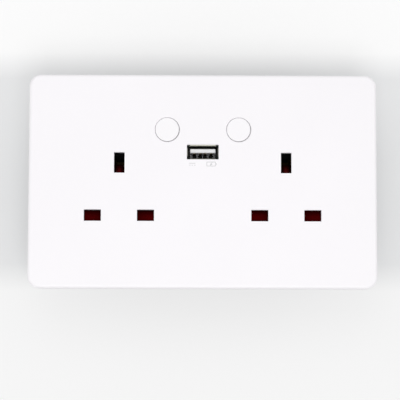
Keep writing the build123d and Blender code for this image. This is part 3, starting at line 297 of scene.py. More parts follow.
class Finish(Nodes):
    """A procedural material: one Principled shader, fed by textures on Object coordinates."""

    def __init__(self, name, roughness, metallic=0.0, shine=0.5):
        self.material = bpy.data.materials.new(f"{name}_finish")
        super().__init__(self.material)
        self.shader = self.tree.nodes["Principled BSDF"]
        self.feed(self.shader, {"Roughness": roughness, "Metallic": metallic, "Specular IOR Level": shine})
        self.place = self.node("TexCoord").outputs["Object"]
        self.normal = None

    def placed(self, stretch=(1, 1, 1), centre=(0, 0, 0), turn=(0, 0, 0)):
        """Object coordinates measured from a centre, turned and stretched."""
        moved = self.node("VectorMath", {0: self.place, 1: centre}, operation="SUBTRACT")
        inputs = {"Vector": moved.outputs["Vector"], "Scale": stretch, "Rotation": turn}
        return self.node("Mapping", inputs).outputs["Vector"]

    def part(self, axis, place=None):
        """One coordinate of a place, or of the Object coordinates."""
        return self.node("SeparateXYZ", {"Vector": place or self.place}).outputs[axis]

    def grain(self, size, detail=2.0, stretch=(1, 1, 1)):
        """Cloudy noise whose lumps are about size across."""
        inputs = {"Vector": self.placed(stretch), "Scale": 1 / size, "Detail": detail}
        return self.node("TexNoise", inputs).outputs["Fac"]

    def cells(self, size):
        """A random grey for each cell of about size across."""
        cell = self.node("TexVoronoi", {"Vector": self.place, "Scale": 1 / size})
        return self.node("RGBToBW", {"Color": cell.outputs["Color"]}).outputs["Val"]

    def lines(self, pitch, direction="X", wobble=0.0):
        """Soft parallel lines at a pitch along one axis."""
        scale = 2 * math.pi / (WAVE_RATE * pitch)
        inputs = {"Vector": self.place, "Scale": scale, "Distortion": wobble}
        return self.node("TexWave", inputs, bands_direction=direction).outputs["Fac"]

    def between(self, value, low, high, first=0.0, last=1.0):
        """A value mapped from low..high to first..last, and clamped there."""
        inputs = {"Value": value, "From Min": low, "From Max": high, "To Min": first, "To Max": last}
        return self.node("MapRange", inputs).outputs["Result"]

    def along(self, axis, low, high):
        """Share of the way between two places along one axis."""
        return self.between(self.part(axis), low, high)

    def beyond(self, axis, low, high, edge=0.00002):
        """One where a place lies outside low..high along one axis."""
        return self.step("MAXIMUM", self.along(axis, low, low - edge), self.along(axis, high, high + edge))

    def ring(self, centre, inner, outer, fade=0.00004):
        """One between two distances from a line along Y through a centre."""
        flat = self.placed(stretch=(1, 0, 1), centre=centre)
        distance = self.node("VectorMath", {0: flat}, operation="LENGTH").outputs["Value"]
        start = self.between(distance, inner - fade, inner)
        return self.step("MULTIPLY", start, self.between(distance, outer, outer + fade, 1.0, 0.0))

    def apart(self, value, middle=0.0):
        """How far a value lies from a middle, to either side."""
        return self.step("ABSOLUTE", self.step("SUBTRACT", value, middle))

    def bands(self, share, stops):
        """Plain bands of colour: each stop is where a band starts and its colour."""
        ramp = self.node("ValToRGB", {"Fac": share})
        ramp.color_ramp.interpolation = "CONSTANT"
        elements = ramp.color_ramp.elements
        for start, rgb in stops[1:]:
            elements.new(start).color = opaque(rgb)
        elements[0].color = opaque(stops[0][1])
        elements.remove(elements[-1])
        return ramp.outputs["Color"]

    def mix(self, share, first, second):
        """A colour between two others."""
        inputs = {"Factor": share, MIX_FIRST: opaque(first), MIX_SECOND: opaque(second)}
        return self.node("Mix", inputs, data_type="RGBA").outputs[MIX_RESULT]

    def shades(self, share, rgb, low, high):
        """One colour, darker or lighter by a factor that goes from low to high."""
        return self.mix(share, shade(rgb, low), shade(rgb, high))

    def tint(self, rgb):
        """Sets the base colour."""
        self.feed(self.shader, {"Base Color": rgb})
        return self

    def bare(self, share, cover, metal):
        """Lets the metal below a cover show where share is one."""
        self.feed(self.shader, {"Metallic": share})
        return self.tint(self.mix(share, cover, metal))

    def gloss(self, share, low, high):
        """Lets the roughness go from low to high over the middle half of share."""
        self.feed(self.shader, {"Roughness": self.between(share, 0.25, 0.75, low, high)})
        return self

    def relief(self, height, depth):
        """Adds a bump of that depth in metres."""
        inputs = {"Strength": 1.0, "Distance": depth, "Height": height}
        if self.normal:
            inputs["Normal"] = self.normal
        self.normal = self.node("Bump", inputs).outputs["Normal"]
        self.feed(self.shader, {"Normal": self.normal})
        return self


def moulded(name, rgb, roughness, grain_size, grain_depth, shine=0.5, seams=()):
    """Moulded plastic: faint clouds, a fine spark grain and a very slight waviness of the wall.

    Painted shade darkens the seams, each of them a ring given by its centre and its two radii.
    """
    # Painted shade in the seams: the moulding's own colour made darker
    seam_shade = shade(rgb, 0.68)
    finish = Finish(name, roughness, shine=shine)
    clouds = finish.grain(size=0.035, detail=1.0)
    fine = finish.grain(grain_size)
    tint = finish.shades(clouds, rgb, 0.985, 1.01)
    for centre, inner, outer in seams:
        tint = finish.mix(finish.ring(centre, inner, outer), tint, seam_shade)
    finish.tint(tint).gloss(fine, roughness - 0.06, roughness + 0.06)
    return finish.relief(clouds, depth=0.00006).relief(fine, grain_depth).material


def button_seam(side, shading):
    """Ring of painted shade at a button's edge: its drifted centre and its two radii."""
    low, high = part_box(f"button_{side}")
    centre = (low + high) / 2 + shading.seam_shade_drift
    return centre, shading.button_radius - shading.seam_width, shading.button_radius + shading.seam_width


def shutter_plastic(name, rgb, ramp, shading):
    """Dull red moulding of the shutters, with painted light and painted shade on the ramps and behind the
    slots.

    Each ramp has a painted pool of light down its middle and painted shade to its sides. Behind the line
    slots the red is painted dark at the top and near end as shade, and grows lighter towards the foot and
    the far end as painted light.
    """
    track_shift, track_core, track_edge, track_start = 0.0004, 0.0002, 0.0015, 0.0026
    ramp_near, ramp_deep = 0.0003, 0.0012
    low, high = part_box("shutter_right")
    middle = (low.x + high.x) / 2 + track_shift
    finish = Finish(name, roughness=0.6, shine=0.0)
    fine = finish.grain(size=0.0005)
    aside = finish.apart(finish.apart(finish.part("X")), middle)
    # Painted light down the middle of each ramp, painted shade at its sides
    lit_band = finish.between(aside, track_core, track_edge, 1.0, 0.0)
    ramp_lit = finish.step("MULTIPLY", lit_band, finish.along("Z", high.z, high.z - track_start))
    slope = finish.mix(ramp_lit, shade(ramp, 0.12), ramp)
    # Painted shade at the top and near end of each line slot's face, painted light at its foot and far end
    slot_top = shading.slot_level + shading.slot_height / 2
    lower = finish.along("Z", slot_top, shading.slot_level - shading.slot_height / 6)
    outer = finish.between(aside, shading.slot_near, shading.slot_far, 0.5, 1.0)
    bright = finish.shades(fine, rgb, 1.75, 1.95)
    wing_light_and_shade = finish.mix(finish.step("MULTIPLY", lower, outer), shade(rgb, 0.35), bright)
    inward = finish.along("Y", low.y + ramp_near, low.y + ramp_deep)
    finish.tint(finish.mix(inward, wing_light_and_shade, slope)).gloss(fine, 0.54, 0.66).relief(fine, depth=0.00001)
    return finish.material


def port_moulding(name, rgb, painted_shade):
    """White tongue and block of the port, with painted shade on the base behind them."""
    dark_start, dark_full = 0.0022, 0.0016
    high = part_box("usb_contacts")[1]
    finish = Finish(name, roughness=0.4)
    fine = finish.grain(size=0.0004)
    # Painted shade: the base behind the tongue takes the near black of the port's bore
    behind = finish.along("Y", high.y - dark_start, high.y - dark_full)
    finish.tint(finish.mix(behind, finish.shades(fine, rgb, 0.98, 1.01), painted_shade))
    return finish.gloss(fine, 0.34, 0.46).relief(fine, depth=0.000008).material


def sheet_metal(name, rgb, roughness):
    """Rolled sheet: fine rolling lines along X and a patchy dull film."""
    finish = Finish(name, roughness, metallic=1.0)
    rolled = finish.grain(size=0.00022, stretch=(0.06, 1, 1))
    film = finish.grain(size=0.004, detail=4.0)
    finish.tint(finish.shades(film, rgb, 0.82, 1.0)).gloss(film, roughness + 0.12, roughness - 0.06)
    return finish.relief(rolled, depth=0.000006).material


def galvanised(name, rgb):
    """Zinc-dipped sheet: crystals of different greys, each with its own dullness."""
    finish = Finish(name, roughness=0.4, metallic=1.0)
    crystals = finish.cells(size=0.0045)
    specks = finish.grain(size=0.0006, detail=3.0)
    finish.tint(finish.shades(crystals, rgb, 0.78, 1.12)).gloss(crystals, 0.3, 0.5)
    return finish.relief(specks, depth=0.000008).material


def plated(name, rgb, roughness):
    """Plated metal: a fine pitting and slightly uneven gloss."""
    finish = Finish(name, roughness, metallic=1.0)
    pits = finish.grain(size=0.0003, detail=3.0)
    stain = finish.grain(size=0.0025, detail=3.0)
    finish.tint(finish.shades(stain, rgb, 0.86, 1.05)).gloss(stain, roughness + 0.08, roughness - 0.05)
    return finish.relief(pits, depth=0.000004).material


def port_shell(name, rgb, bore_shade):
    """Drawn nickel-plated shell, bright outside, with drawing lines along it, painted light on its upper
    lip and painted shade within.

    The painted light on the lip lies between the corners, and a front rim of painted shade, a middling
    grey, runs all round.
    """
    wall_inner, wall_outer, outside_start, outside_full = 0.0001, 0.0002, 0.001, 0.0013
    lip_low, lip_full, lip_end, lip_deep = 0.0006, 0.0003, 0.0015, 0.0019
    corner, corner_end, rim_full, rim_deep = 0.0008, 0.0006, 0.0003, 0.0006
    low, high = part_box("usb_shell")
    inner_low, inner_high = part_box("usb_tongue")
    half = (inner_high - inner_low) / 2
    finish = Finish(name, roughness=0.35, metallic=1.0)
    centred = finish.placed(centre=(low + high) / 2)
    sideways = finish.apart(finish.part("X", centred))
    across = finish.step("SUBTRACT", sideways, half.x)
    upward = finish.step("SUBTRACT", finish.apart(finish.part("Z", centred)), half.z)
    wall = finish.between(finish.step("MAXIMUM", across, upward), wall_inner, wall_outer)
    deep = finish.along("Y", low.y + outside_start, low.y + outside_full)
    outside = finish.step("MULTIPLY", wall, deep)
    # Painted light on the upper inner lip, between the corners
    upper = finish.along("Z", inner_high.z - lip_low, inner_high.z - lip_full)
    crown = finish.step("MULTIPLY", upper, finish.between(sideways, half.x - corner_end, half.x - corner))
    lips = finish.step("MULTIPLY", crown, finish.along("Y", low.y + lip_deep, low.y + lip_end))
    # Painted shade: a middling grey front rim, near black further in
    shaded_rim = finish.along("Y", low.y + rim_deep, low.y + rim_full)
    drawn = finish.grain(size=0.00022, stretch=(1, 0.06, 1))
    metal = finish.shades(drawn, rgb, 0.9, 1.05)
    painted_shade = finish.mix(shaded_rim, bore_shade, shade(rgb, 0.29))
    finish.tint(finish.mix(finish.step("MAXIMUM", outside, lips), painted_shade, metal))
    return finish.gloss(drawn, 0.3, 0.42).relief(drawn, depth=0.000004).material


def machined(name, rgb):
    """Turned or milled brass: close tool lines and a patchy tarnish."""
    finish = Finish(name, roughness=0.28, metallic=1.0)
    tool = finish.lines(pitch=0.00025, direction="Z", wobble=0.4)
    tarnish = finish.grain(size=0.003, detail=4.0)
    finish.tint(finish.shades(tarnish, rgb, 0.72, 1.0)).gloss(tarnish, 0.4, 0.22)
    return finish.relief(tool, depth=0.000005).material


def drawn_wire(name, rgb):
    """Drawn spring steel: streaks along the wire and a thin oil film."""
    finish = Finish(name, roughness=0.3, metallic=1.0)
    streaks = finish.grain(size=0.0004, detail=3.0, stretch=(1, 0.3, 1))
    return finish.tint(finish.shades(streaks, rgb, 0.75, 1.1)).gloss(streaks, 0.22, 0.4).material


def lacquered_board(name, rgb):
    """Circuit board: green lacquer over raised copper tracks in a brick-like layout."""
    finish = Finish(name, roughness=0.35)
    layout = {
        "Vector": finish.placed(turn=(math.pi / 2, 0, 0)),
        "Scale": 1.0,
        "Brick Width": 0.0052,
        "Row Height": 0.0021,
        "Mortar Size": 0.0003,
        "Mortar Smooth": 0.2,
    }
    bricks = finish.node("TexBrick", layout, offset=0.35, squash=1.6, squash_frequency=3)
    tracks = bricks.outputs["Fac"]
    weave = finish.lines(pitch=0.0005)
    finish.tint(finish.shades(tracks, rgb, 1.0, 1.9)).gloss(weave, 0.28, 0.4)
    return finish.relief(tracks, depth=0.00003).relief(weave, depth=0.000004).material


def ground_ferrite(name, rgb):
    """Ferrite: dark ground ceramic with bright specks."""
    finish = Finish(name, roughness=0.5)
    specks = finish.cells(size=0.00035)
    finish.tint(finish.shades(specks, rgb, 0.6, 1.6)).gloss(specks, 0.42, 0.62)
    return finish.relief(specks, depth=0.000006).material


def wound_tape(name, rgb):
    """Winding tape: overlapped turns with a step at each lap, and creases."""
    finish = Finish(name, roughness=0.32)
    laps = finish.lines(pitch=0.0017, direction="Y", wobble=0.6)
    creases = finish.grain(size=0.0016, detail=4.0, stretch=(1, 0.4, 1))
    finish.tint(finish.shades(laps, rgb, 0.8, 1.08)).gloss(creases, 0.24, 0.42)
    return finish.relief(laps, depth=0.00004).relief(creases, depth=0.00002).material


def capacitor_sleeve(name, rgb, stripe, can, node):
    """Capacitor: a dark shrink sleeve with one pale stripe down its side, and a bare metal top."""
    stripe_start, stripe_end = 0.62, 0.78
    top_full, top_end = 0.0003, 0.00035
    low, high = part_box(node)
    finish = Finish(name, roughness=0.3)
    turned = finish.placed(centre=(low + high) / 2, turn=(math.pi / 2, 0, 0))
    angle = finish.node("TexGradient", {"Vector": turned}, gradient_type="RADIAL").outputs["Fac"]
    sleeve = finish.bands(angle, [(0.0, rgb), (stripe_start, stripe), (stripe_end, rgb)])
    wrinkles = finish.grain(size=0.0014, detail=3.0, stretch=(1, 0.25, 1))
    finish.bare(finish.along("Y", low.y + top_end, low.y + top_full), sleeve, can)
    return finish.gloss(wrinkles, 0.22, 0.4).relief(wrinkles, depth=0.00002).material


def leaded_chip(name, rgb, tin, node, reach):
    """Chip: finely moulded black, with tinned leads that reach out above and below it."""
    low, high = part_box(node)
    finish = Finish(name, roughness=0.5)
    fine = finish.grain(size=0.00025)
    leads = finish.beyond("Z", low.z + reach, high.z - reach)
    finish.bare(leads, finish.shades(fine, rgb, 0.9, 1.1), tin)
    return finish.gloss(fine, 0.42, 0.56).relief(fine, depth=0.000008).material


def banded_resistor(name, rgb, tin, node, reach):
    """Fuse resistor: lacquered body with plain value rings, and a tinned lead at each end."""
    low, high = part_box(node)
    start, end = low.x + reach, high.x - reach
    stops = [(0.0, rgb)]
    for ring_start, ring in RESISTOR_RINGS:
        stops += [(ring_start, ring), (ring_start + RESISTOR_RING_WIDTH, rgb)]
    finish = Finish(name, roughness=0.35)
    skin = finish.grain(size=0.0009)
    finish.bare(finish.beyond("X", start, end), finish.bands(finish.along("X", start, end), stops), tin)
    return finish.gloss(skin, 0.28, 0.42).relief(skin, depth=0.00002).material


def dipped_disc(name, rgb, tin, node):
    """Disc capacitor: thick dipped lacquer with an orange-peel skin, and two tinned legs behind."""
    leg_inside, dip_end, leg_start = 0.0013, 0.00034, 0.0003
    low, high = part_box(node)
    middle = (low.z + high.z) / 2
    finish = Finish(name, roughness=0.3)
    peel = finish.grain(size=0.0009)
    outer = finish.beyond("Z", middle - leg_inside, middle + leg_inside)
    legs = finish.step("MULTIPLY", outer, finish.along("Y", high.y - dip_end, high.y - leg_start))
    finish.bare(legs, finish.shades(peel, rgb, 0.85, 1.15), tin)
    return finish.gloss(peel, 0.24, 0.4).relief(peel, depth=0.00004).material


def dress(slot, make, *values, **more):
    """Makes a material and gives it to every solid of one slot of the record."""
    material = make(slot, *values, **more)
    for part in frame["record"]["subparts"]:
        if part["material_slot"] == slot:
            dress_node(part["node"], material)


def dress_node(node, material):
    """Gives a material to one solid."""
    for place in frame["nodes"][node].material_slots:
        place.material = material


def finish_of(node):
    """The material that a solid has been given."""
    return frame["nodes"][node].material_slots[0].material


# Surfaces


class Surface:
    """Points and faces of one piece, gathered from its parts."""

    def __init__(self):
        self.points, self.faces, self.count = [], [], 0

    def add(self, points, *faces):
        """Adds one part: its points, and arrays of its faces by point number."""
        self.points.append(points)
        self.faces += [part + self.count for part in faces]
        self.count += len(points)

    def piece(self, name, material, body=None, slot=None, sharp=math.radians(40)):
        """Puts the parts into one mesh object, which rides on a body if there is one."""
        faces = [face for part in self.faces for face in part.tolist()]
        mesh = bpy.data.meshes.new(name)
        mesh.from_pydata(np.concatenate(self.points), [], faces, shade_flat=False)
        mesh.set_sharp_from_angle(angle=sharp)
        mesh.materials.append(material)
        made = bpy.data.objects.new(name, mesh)
        bpy.context.scene.collection.objects.link(made)
        if body:
            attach(made, body)
        return made


def tube_faces(rows, columns):
    """Quads between the rings of a tube, and a fan to a last point at each end."""
    ring = np.arange(columns)
    turned = (ring + 1) % columns
    start = np.arange(rows - 1)[:, None] * columns
    corners = [start + ring, start + turned, start + turned + columns, start + ring + columns]
    quads = np.stack(corners, -1).reshape(-1, 4)
    near = np.stack([turned, ring, np.full(columns, rows * columns)], -1)
    last = (rows - 1) * columns
    far = np.stack([last + ring, last + turned, np.full(columns, rows * columns + 1)], -1)
    return quads, np.concatenate([near, far])


def swept(centre, across, up, outline, scale=1.0):
    """A tube: each ring is the outline, its first coordinate along across and its second along up.

    centre, across and up hold one vector for each ring. The outline runs anticlockwise, seen
    with the path coming towards the eye, where across x up points along the path. scale may
    hold a factor for each ring, and both ends are closed by fans.
    """
    size = np.broadcast_to(np.asarray(scale, float), len(centre))[:, None, None]
    flat = outline[None, :, 0, None] * across[:, None] + outline[None, :, 1, None] * up[:, None]
    rings = centre[:, None] + size * flat
    points = np.concatenate([rings.reshape(-1, 3), centre[:1], centre[-1:]])
    return (points, *tube_faces(len(centre), len(outline)))


def unit(vectors):
    """Vectors made one long."""
    return vectors / np.linalg.norm(vectors, axis=-1, keepdims=True)


def circle(radius, sides=12, shift=0.0):
    """Points of a circle, anticlockwise, turned by a share of one side."""
    angle = (np.arange(sides) + shift) * 2 * np.pi / sides
    return radius * np.stack([np.cos(angle), np.sin(angle)], -1)


def strip_outline(width, thickness, sides=16, power=0.35):
    """Outline of a flat strip: a circle with each coordinate raised to a power below one."""
    spoke = circle(1.0, sides, shift=0.5)
    return np.array([width, thickness]) / 2 * np.sign(spoke) * np.abs(spoke) ** power


def softened(points, cut, steps=8):
    """A route whose corners are parabolas: each starts and ends at cut from its corner."""
    points = np.asarray(points, float)
    corner = points[1:-1]
    start = corner + cut * unit(points[:-2] - corner)
    end = corner + cut * unit(points[2:] - corner)
    t = np.linspace(0, 1, steps)[None, :, None]
    curve = (1 - t) ** 2 * start[:, None] + 2 * t * (1 - t) * corner[:, None] + t**2 * end[:, None]
    return np.concatenate([points[:1], curve.reshape(-1, 3), points[-1:]])


def helix(middle, radius, low, high, turns, flat_share=0.0, steps=48):
    """Centre line of a coil along Y, with the outward and the lengthwise direction at each point.

    The angle grows evenly. Y rises evenly from low to high, apart from a flat share at each end.
    """
    share = np.linspace(0, 1, int(turns * steps) + 1)
    angle = 2 * np.pi * turns * share
    rise = np.clip((share - flat_share) / (1 - 2 * flat_share), 0, 1)
    outward = np.stack([np.cos(angle), np.zeros_like(angle), np.sin(angle)], -1)
    line = radius * outward + (middle.x, 0.0, middle.z)
    line[:, 1] = low + (high - low) * rise
    along = unit(np.gradient(line, axis=0))
    return line, outward, np.cross(along, outward), share


def bar(start, end, width, base, top, place, steps=7, slant=0.35):
    """A raised bar with round ends: the outline of a pill, carried from base to top.

    start and end are flat points, and place turns flat points and heights into space. The upper
    share of the height, given by slant, leans inward by as much as it rises.
    """
    start, end = np.asarray(start, float), np.asarray(end, float)
    along = end - start
    turn = np.linspace(-np.pi / 2, np.pi / 2, steps)
    angles = np.concatenate([turn, turn + np.pi]) + np.arctan2(along[1], along[0])
    ends = np.repeat(np.stack([end, start]), steps, axis=0)
    spoke = np.stack([np.cos(angles), np.sin(angles)], -1)
    edge = (top - base) * slant
    radius = np.array([width / 2, width / 2, width / 2 - edge])
    height = np.array([base, top - edge, top])
    flat = ends[None] + radius[:, None, None] * spoke[None]
    rings = place(flat.reshape(-1, 2), np.repeat(height, len(angles)))
    middle = np.stack([(start + end) / 2] * 2)
    caps = place(middle, np.array([base, top]))
    return (np.concatenate([rings, caps]), *tube_faces(len(height), len(angles)))


def on_face(x, z, face, outward):
    """Places flat points around (x, z) on a face that looks along Y (outward 1) or against it (-1)."""

    def place(flat, height):
        return np.stack([x - outward * flat[:, 0], face + outward * height, z + flat[:, 1]], -1)

    return place


# Signs as lines from point to point, in shares of their height, around their own middle
DIRECT_CURRENT = [
    [(-0.62, 0.16), (0.62, 0.16)],
    [(-0.62, -0.24), (-0.42, -0.24)],
    [(-0.1, -0.24), (0.1, -0.24)],
    [(0.42, -0.24), (0.62, -0.24)],
]
CHARGING_CELL = [
    [(-0.95, 0.42), (0.85, 0.42), (0.85, -0.42), (-0.95, -0.42), (-0.95, 0.42)],
    [(1.05, 0.14), (1.05, -0.14)],
    [(0.14, 0.26), (-0.24, -0.04), (0.14, -0.04), (-0.24, -0.28)],
]
LETTER_L = [[(-0.24, 0.5), (-0.24, -0.5), (0.3, -0.5)]]
LETTER_N = [[(-0.32, -0.5), (-0.32, 0.5), (0.32, -0.5), (0.32, 0.5)]]
EARTH = [
    [(0.0, 0.5), (0.0, 0.0)],
    [(-0.42, 0.0), (0.42, 0.0)],
    [(-0.26, -0.24), (0.26, -0.24)],
    [(-0.1, -0.48), (0.1, -0.48)],
]
TERMINAL_SIGNS = {
    "neutral_terminal": LETTER_N,
    "earth_terminal_left": EARTH,
    "earth_terminal_right": EARTH,
    "live_terminal": LETTER_L,
}


def add_sign(surface, lines, height, stroke, rise, sink, place, growth=0.05):
    """Adds one sign to a surface, each stroke a raised bar that is sunk a little into its face.

    Each stroke rises more than the one before it by a share growth, so that no two tops lie in one plane.
    """
    strokes = [ends for line in lines for ends in zip(line, line[1:])]
    for number, (start, end) in enumerate(strokes):
        top = rise * (1 + growth * number)
        surface.add(*bar(np.multiply(start, height), np.multiply(end, height), stroke, -sink, top, place))


# Operators


class WALLSOCKET_OT_mouldings(bpy.types.Operator):
    """Finish the moulded plastic: plate, buttons, shutters, housing and switch parts"""

    bl_idname = "wall_socket.mouldings"
    bl_label = "Mouldings"

    def execute(self, context):
        rgb = context.scene.socket_colours
        shading = context.scene.socket_wear
        seams = [button_seam(side, shading) for side in SIDES]
        # After its colour, each plain moulding has its roughness, and the size and depth of its grain
        dress("plate_white", moulded, rgb.plate, 0.42, 0.00045, 0.000006, seams=seams)
        dress("button_white", moulded, rgb.button, 0.38, 0.0004, 0.000005)
        dress("shutter_red", shutter_plastic, rgb.shutter, rgb.ramp, shading)
        dress("moulding_black", moulded, rgb.moulding, 0.6, 0.0006, 0.00002, shine=0.1)
        dress("cover_black", moulded, rgb.cover, 0.55, 0.0007, 0.00003, shine=0.3)
        dress("switch_black", moulded, rgb.switch, 0.48, 0.0005, 0.00002)
        dress("plunger_white", moulded, rgb.plunger, 0.4, 0.0005, 0.00001)
        dress("usb_white", port_moulding, rgb.tongue, rgb.bore_shade)
        return {"FINISHED"}


class WALLSOCKET_OT_metals(bpy.types.Operator):
    """Finish the metal: frame, screws, brass, copper, silver, springs and the port's shell"""

    bl_idname = "wall_socket.metals"
    bl_label = "Metals"

    def execute(self, context):
        rgb = context.scene.socket_colours
        dress("galvanised_steel", galvanised, rgb.steel)
        dress("zinc_screw", plated, rgb.zinc, roughness=0.3)
        dress("brass_strip", sheet_metal, rgb.strip, roughness=0.5)
        dress("brass_terminal", machined, rgb.brass)
        dress("spring_steel", drawn_wire, rgb.spring)
        dress("copper_bridge", sheet_metal, rgb.copper, roughness=0.3)
        dress("silver_contact", plated, rgb.silver, roughness=0.22)
        dress("usb_nickel", port_shell, rgb.nickel, rgb.bore_shade)
        dress("usb_gold", plated, rgb.gold, roughness=0.3)
        return {"FINISHED"}


class WALLSOCKET_OT_charger(bpy.types.Operator):
    """Finish the charger: board, transformer, capacitors, chips and resistor"""

    bl_idname = "wall_socket.charger"
    bl_label = "Charger"

    def execute(self, context):
        rgb = context.scene.socket_colours
        dress("board_green", lacquered_board, rgb.board)
        dress("ferrite", ground_ferrite, rgb.ferrite)
        dress("coil_tape", wound_tape, rgb.tape)
        for node in ("input_capacitor", "output_capacitor"):
            dress_node(node, capacitor_sleeve(f"{node}_sleeve", rgb.sleeve, rgb.stripe, rgb.can, node))
        for node in ("rectifier", "controller_chip"):
            dress_node(node, leaded_chip(f"{node}_black", rgb.chip, rgb.tin, node, reach=0.0011))
        dress("fuse_body", banded_resistor, rgb.fuse, rgb.tin, "fuse_resistor", reach=0.0015)
        dress("disc_blue", dipped_disc, rgb.disc, rgb.tin, "safety_capacitor")
        return {"FINISHED"}


class WALLSOCKET_OT_switch_springs(bpy.types.Operator):
    """Wind the two return springs of the switches from round wire"""

    bl_idname = "wall_socket.switch_springs"
    bl_label = "Switch springs"

    def execute(self, context):
        sizes = context.scene.socket_springs
        wire = sizes.coil_wire
        for side in SIDES:
            low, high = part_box(f"switch_spring_{side}")
            middle = (low + high) / 2
            radius = (high.x - low.x - wire) / 2
            ends = (high.y - wire / 2, low.y + wire / 2)
            line, outward, upward, _ = helix(middle, radius, *ends, sizes.coil_turns, sizes.coil_end)
            surface = Surface()
            surface.add(*swept(line, outward, upward, circle(wire / 2)))
            material = finish_of(f"switch_spring_{side}")
            spring = surface.piece(f"coil_spring_{side}", material, "socket", "spring_steel")
            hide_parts(f"switch_spring_{side}")
            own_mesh(spring)
        return {"FINISHED"}


class WALLSOCKET_OT_shutter_springs(bpy.types.Operator):
    """Fold the two shutter springs from strip"""

    bl_idname = "wall_socket.shutter_springs"
    bl_label = "Shutter springs"

    def execute(self, context):
        sizes = context.scene.socket_springs
        sheet = sizes.leaf_sheet
        for side in SIDES:
            low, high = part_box(f"shutter_spring_{side}")
            middle = (low + high) / 2
            turns = sizes.leaf_folds + 1
            number = np.arange(turns)
            reach = np.where(number % 2 == 0, high.x - sheet / 2, low.x + sheet / 2)
            level = low.z + sheet / 2 + (high.z - low.z - sheet) * number / (turns - 1)
            folds = np.stack([reach, np.full(turns, middle.y), level], -1)
            first = [[low.x + sheet / 2, middle.y, folds[0, 2]]]
            last = [[low.x + high.x - folds[-1, 0], middle.y, folds[-1, 2]]]
            line = softened(np.concatenate([first, folds, last]), sizes.leaf_bend)
            across = np.tile([0.0, 1.0, 0.0], (len(line), 1))
            up = np.cross(unit(np.gradient(line, axis=0)), across)
            surface = Surface()
            surface.add(*swept(line, across, up, strip_outline(high.y - low.y, sheet)))
            material = finish_of(f"shutter_spring_{side}")
            spring = surface.piece(f"leaf_spring_{side}", material, "socket", "spring_steel")
            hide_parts(f"shutter_spring_{side}")
            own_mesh(spring)
        return {"FINISHED"}


class WALLSOCKET_OT_screw_threads(bpy.types.Operator):
    """Cut the thread that shows on the backed-out terminal screws"""

    bl_idname = "wall_socket.screw_threads"
    bl_label = "Screw threads"

    def execute(self, context):
        sizes = context.scene.socket_springs
        foot_share, crest_share, runout_turns, thinnest = 0.42, 0.15, 0.25, 0.02
        foot = sizes.thread_pitch * foot_share
        crest = foot * crest_share
        depth = sizes.thread_depth
        ridge = np.array([(0, -foot), (depth, -crest), (depth, crest), (0, foot)])
        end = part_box("terminal_screws")[1].y - sizes.thread_end
        surface = Surface()
        for node in TERMINAL_SIGNS:
            low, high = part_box(node)
            middle = (low + high) / 2
            start = high.y + sizes.thread_start
            turns = (end - start) / sizes.thread_pitch
            line, outward, upward, share = helix(middle, sizes.thread_root, start, end, turns)
            taper = np.clip(np.minimum(share, 1 - share) * turns / runout_turns, thinnest, 1)
            surface.add(*swept(line, outward, upward, ridge, taper))
        surface.piece("screw_threads", finish_of("terminal_screws"), "socket", "brass_terminal")
        return {"FINISHED"}


class WALLSOCKET_OT_port_sign(bpy.types.Operator):
    """Print the plain signs below the port: direct current, and a cell being charged"""

    bl_idname = "wall_socket.port_sign"
    bl_label = "Port sign"

    def execute(self, context):
        sizes = context.scene.socket_signs
        low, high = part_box("usb_shell")
        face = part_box("front_plate")[0].y
        height = sizes.port_height
        rise = sizes.print_rise
        ink = Finish("sign_grey", roughness=0.5)
        ink.tint(ink.shades(ink.grain(size=0.0008), context.scene.socket_colours.sign, 0.95, 1.0))
        surface = Surface()
        for lines, shift in ((DIRECT_CURRENT, sizes.current_place), (CHARGING_CELL, sizes.cell_place)):
            x = (low.x + high.x) / 2 + shift * height
            place = on_face(x, low.z - sizes.port_drop, face, outward=-1)
            add_sign(surface, lines, height, sizes.port_stroke, rise, rise, place)
        surface.piece("port_sign", ink.material, "socket", "plate_white")
        return {"FINISHED"}


class WALLSOCKET_OT_terminal_signs(bpy.types.Operator):
    """Mould the wiring signs on the cover beside the terminal screws"""

    bl_idname = "wall_socket.terminal_signs"
    bl_label = "Terminal signs"

    def execute(self, context):
        sizes = context.scene.socket_signs
        rise = sizes.terminal_rise
        surface = Surface()
        for node, lines in TERMINAL_SIGNS.items():
            low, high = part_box(node)
            level = high.z + sizes.terminal_gap
            place = on_face((low.x + high.x) / 2, level, high.y + sizes.cover_wall, outward=1)
            add_sign(surface, lines, sizes.terminal_height, sizes.terminal_stroke, rise, rise / 2, place)
        surface.piece("terminal_signs", finish_of("rear_cover"), "socket", "cover_black")
        return {"FINISHED"}


class WALLSOCKET_OT_stage(bpy.types.Operator):
    """Set the floor, the backdrop, the lamps and the camera"""

    bl_idname = "wall_socket.stage"
    bl_label = "Stage"

    def execute(self, context):
        stage = context.scene.socket_stage
        context.scene.view_settings.view_transform = "Standard"
        set_backdrop(stage)
        set_world(context.scene, stage)
        set_lamps(stage)
        set_camera(context.scene, stage)
        return {"FINISHED"}


# Stage


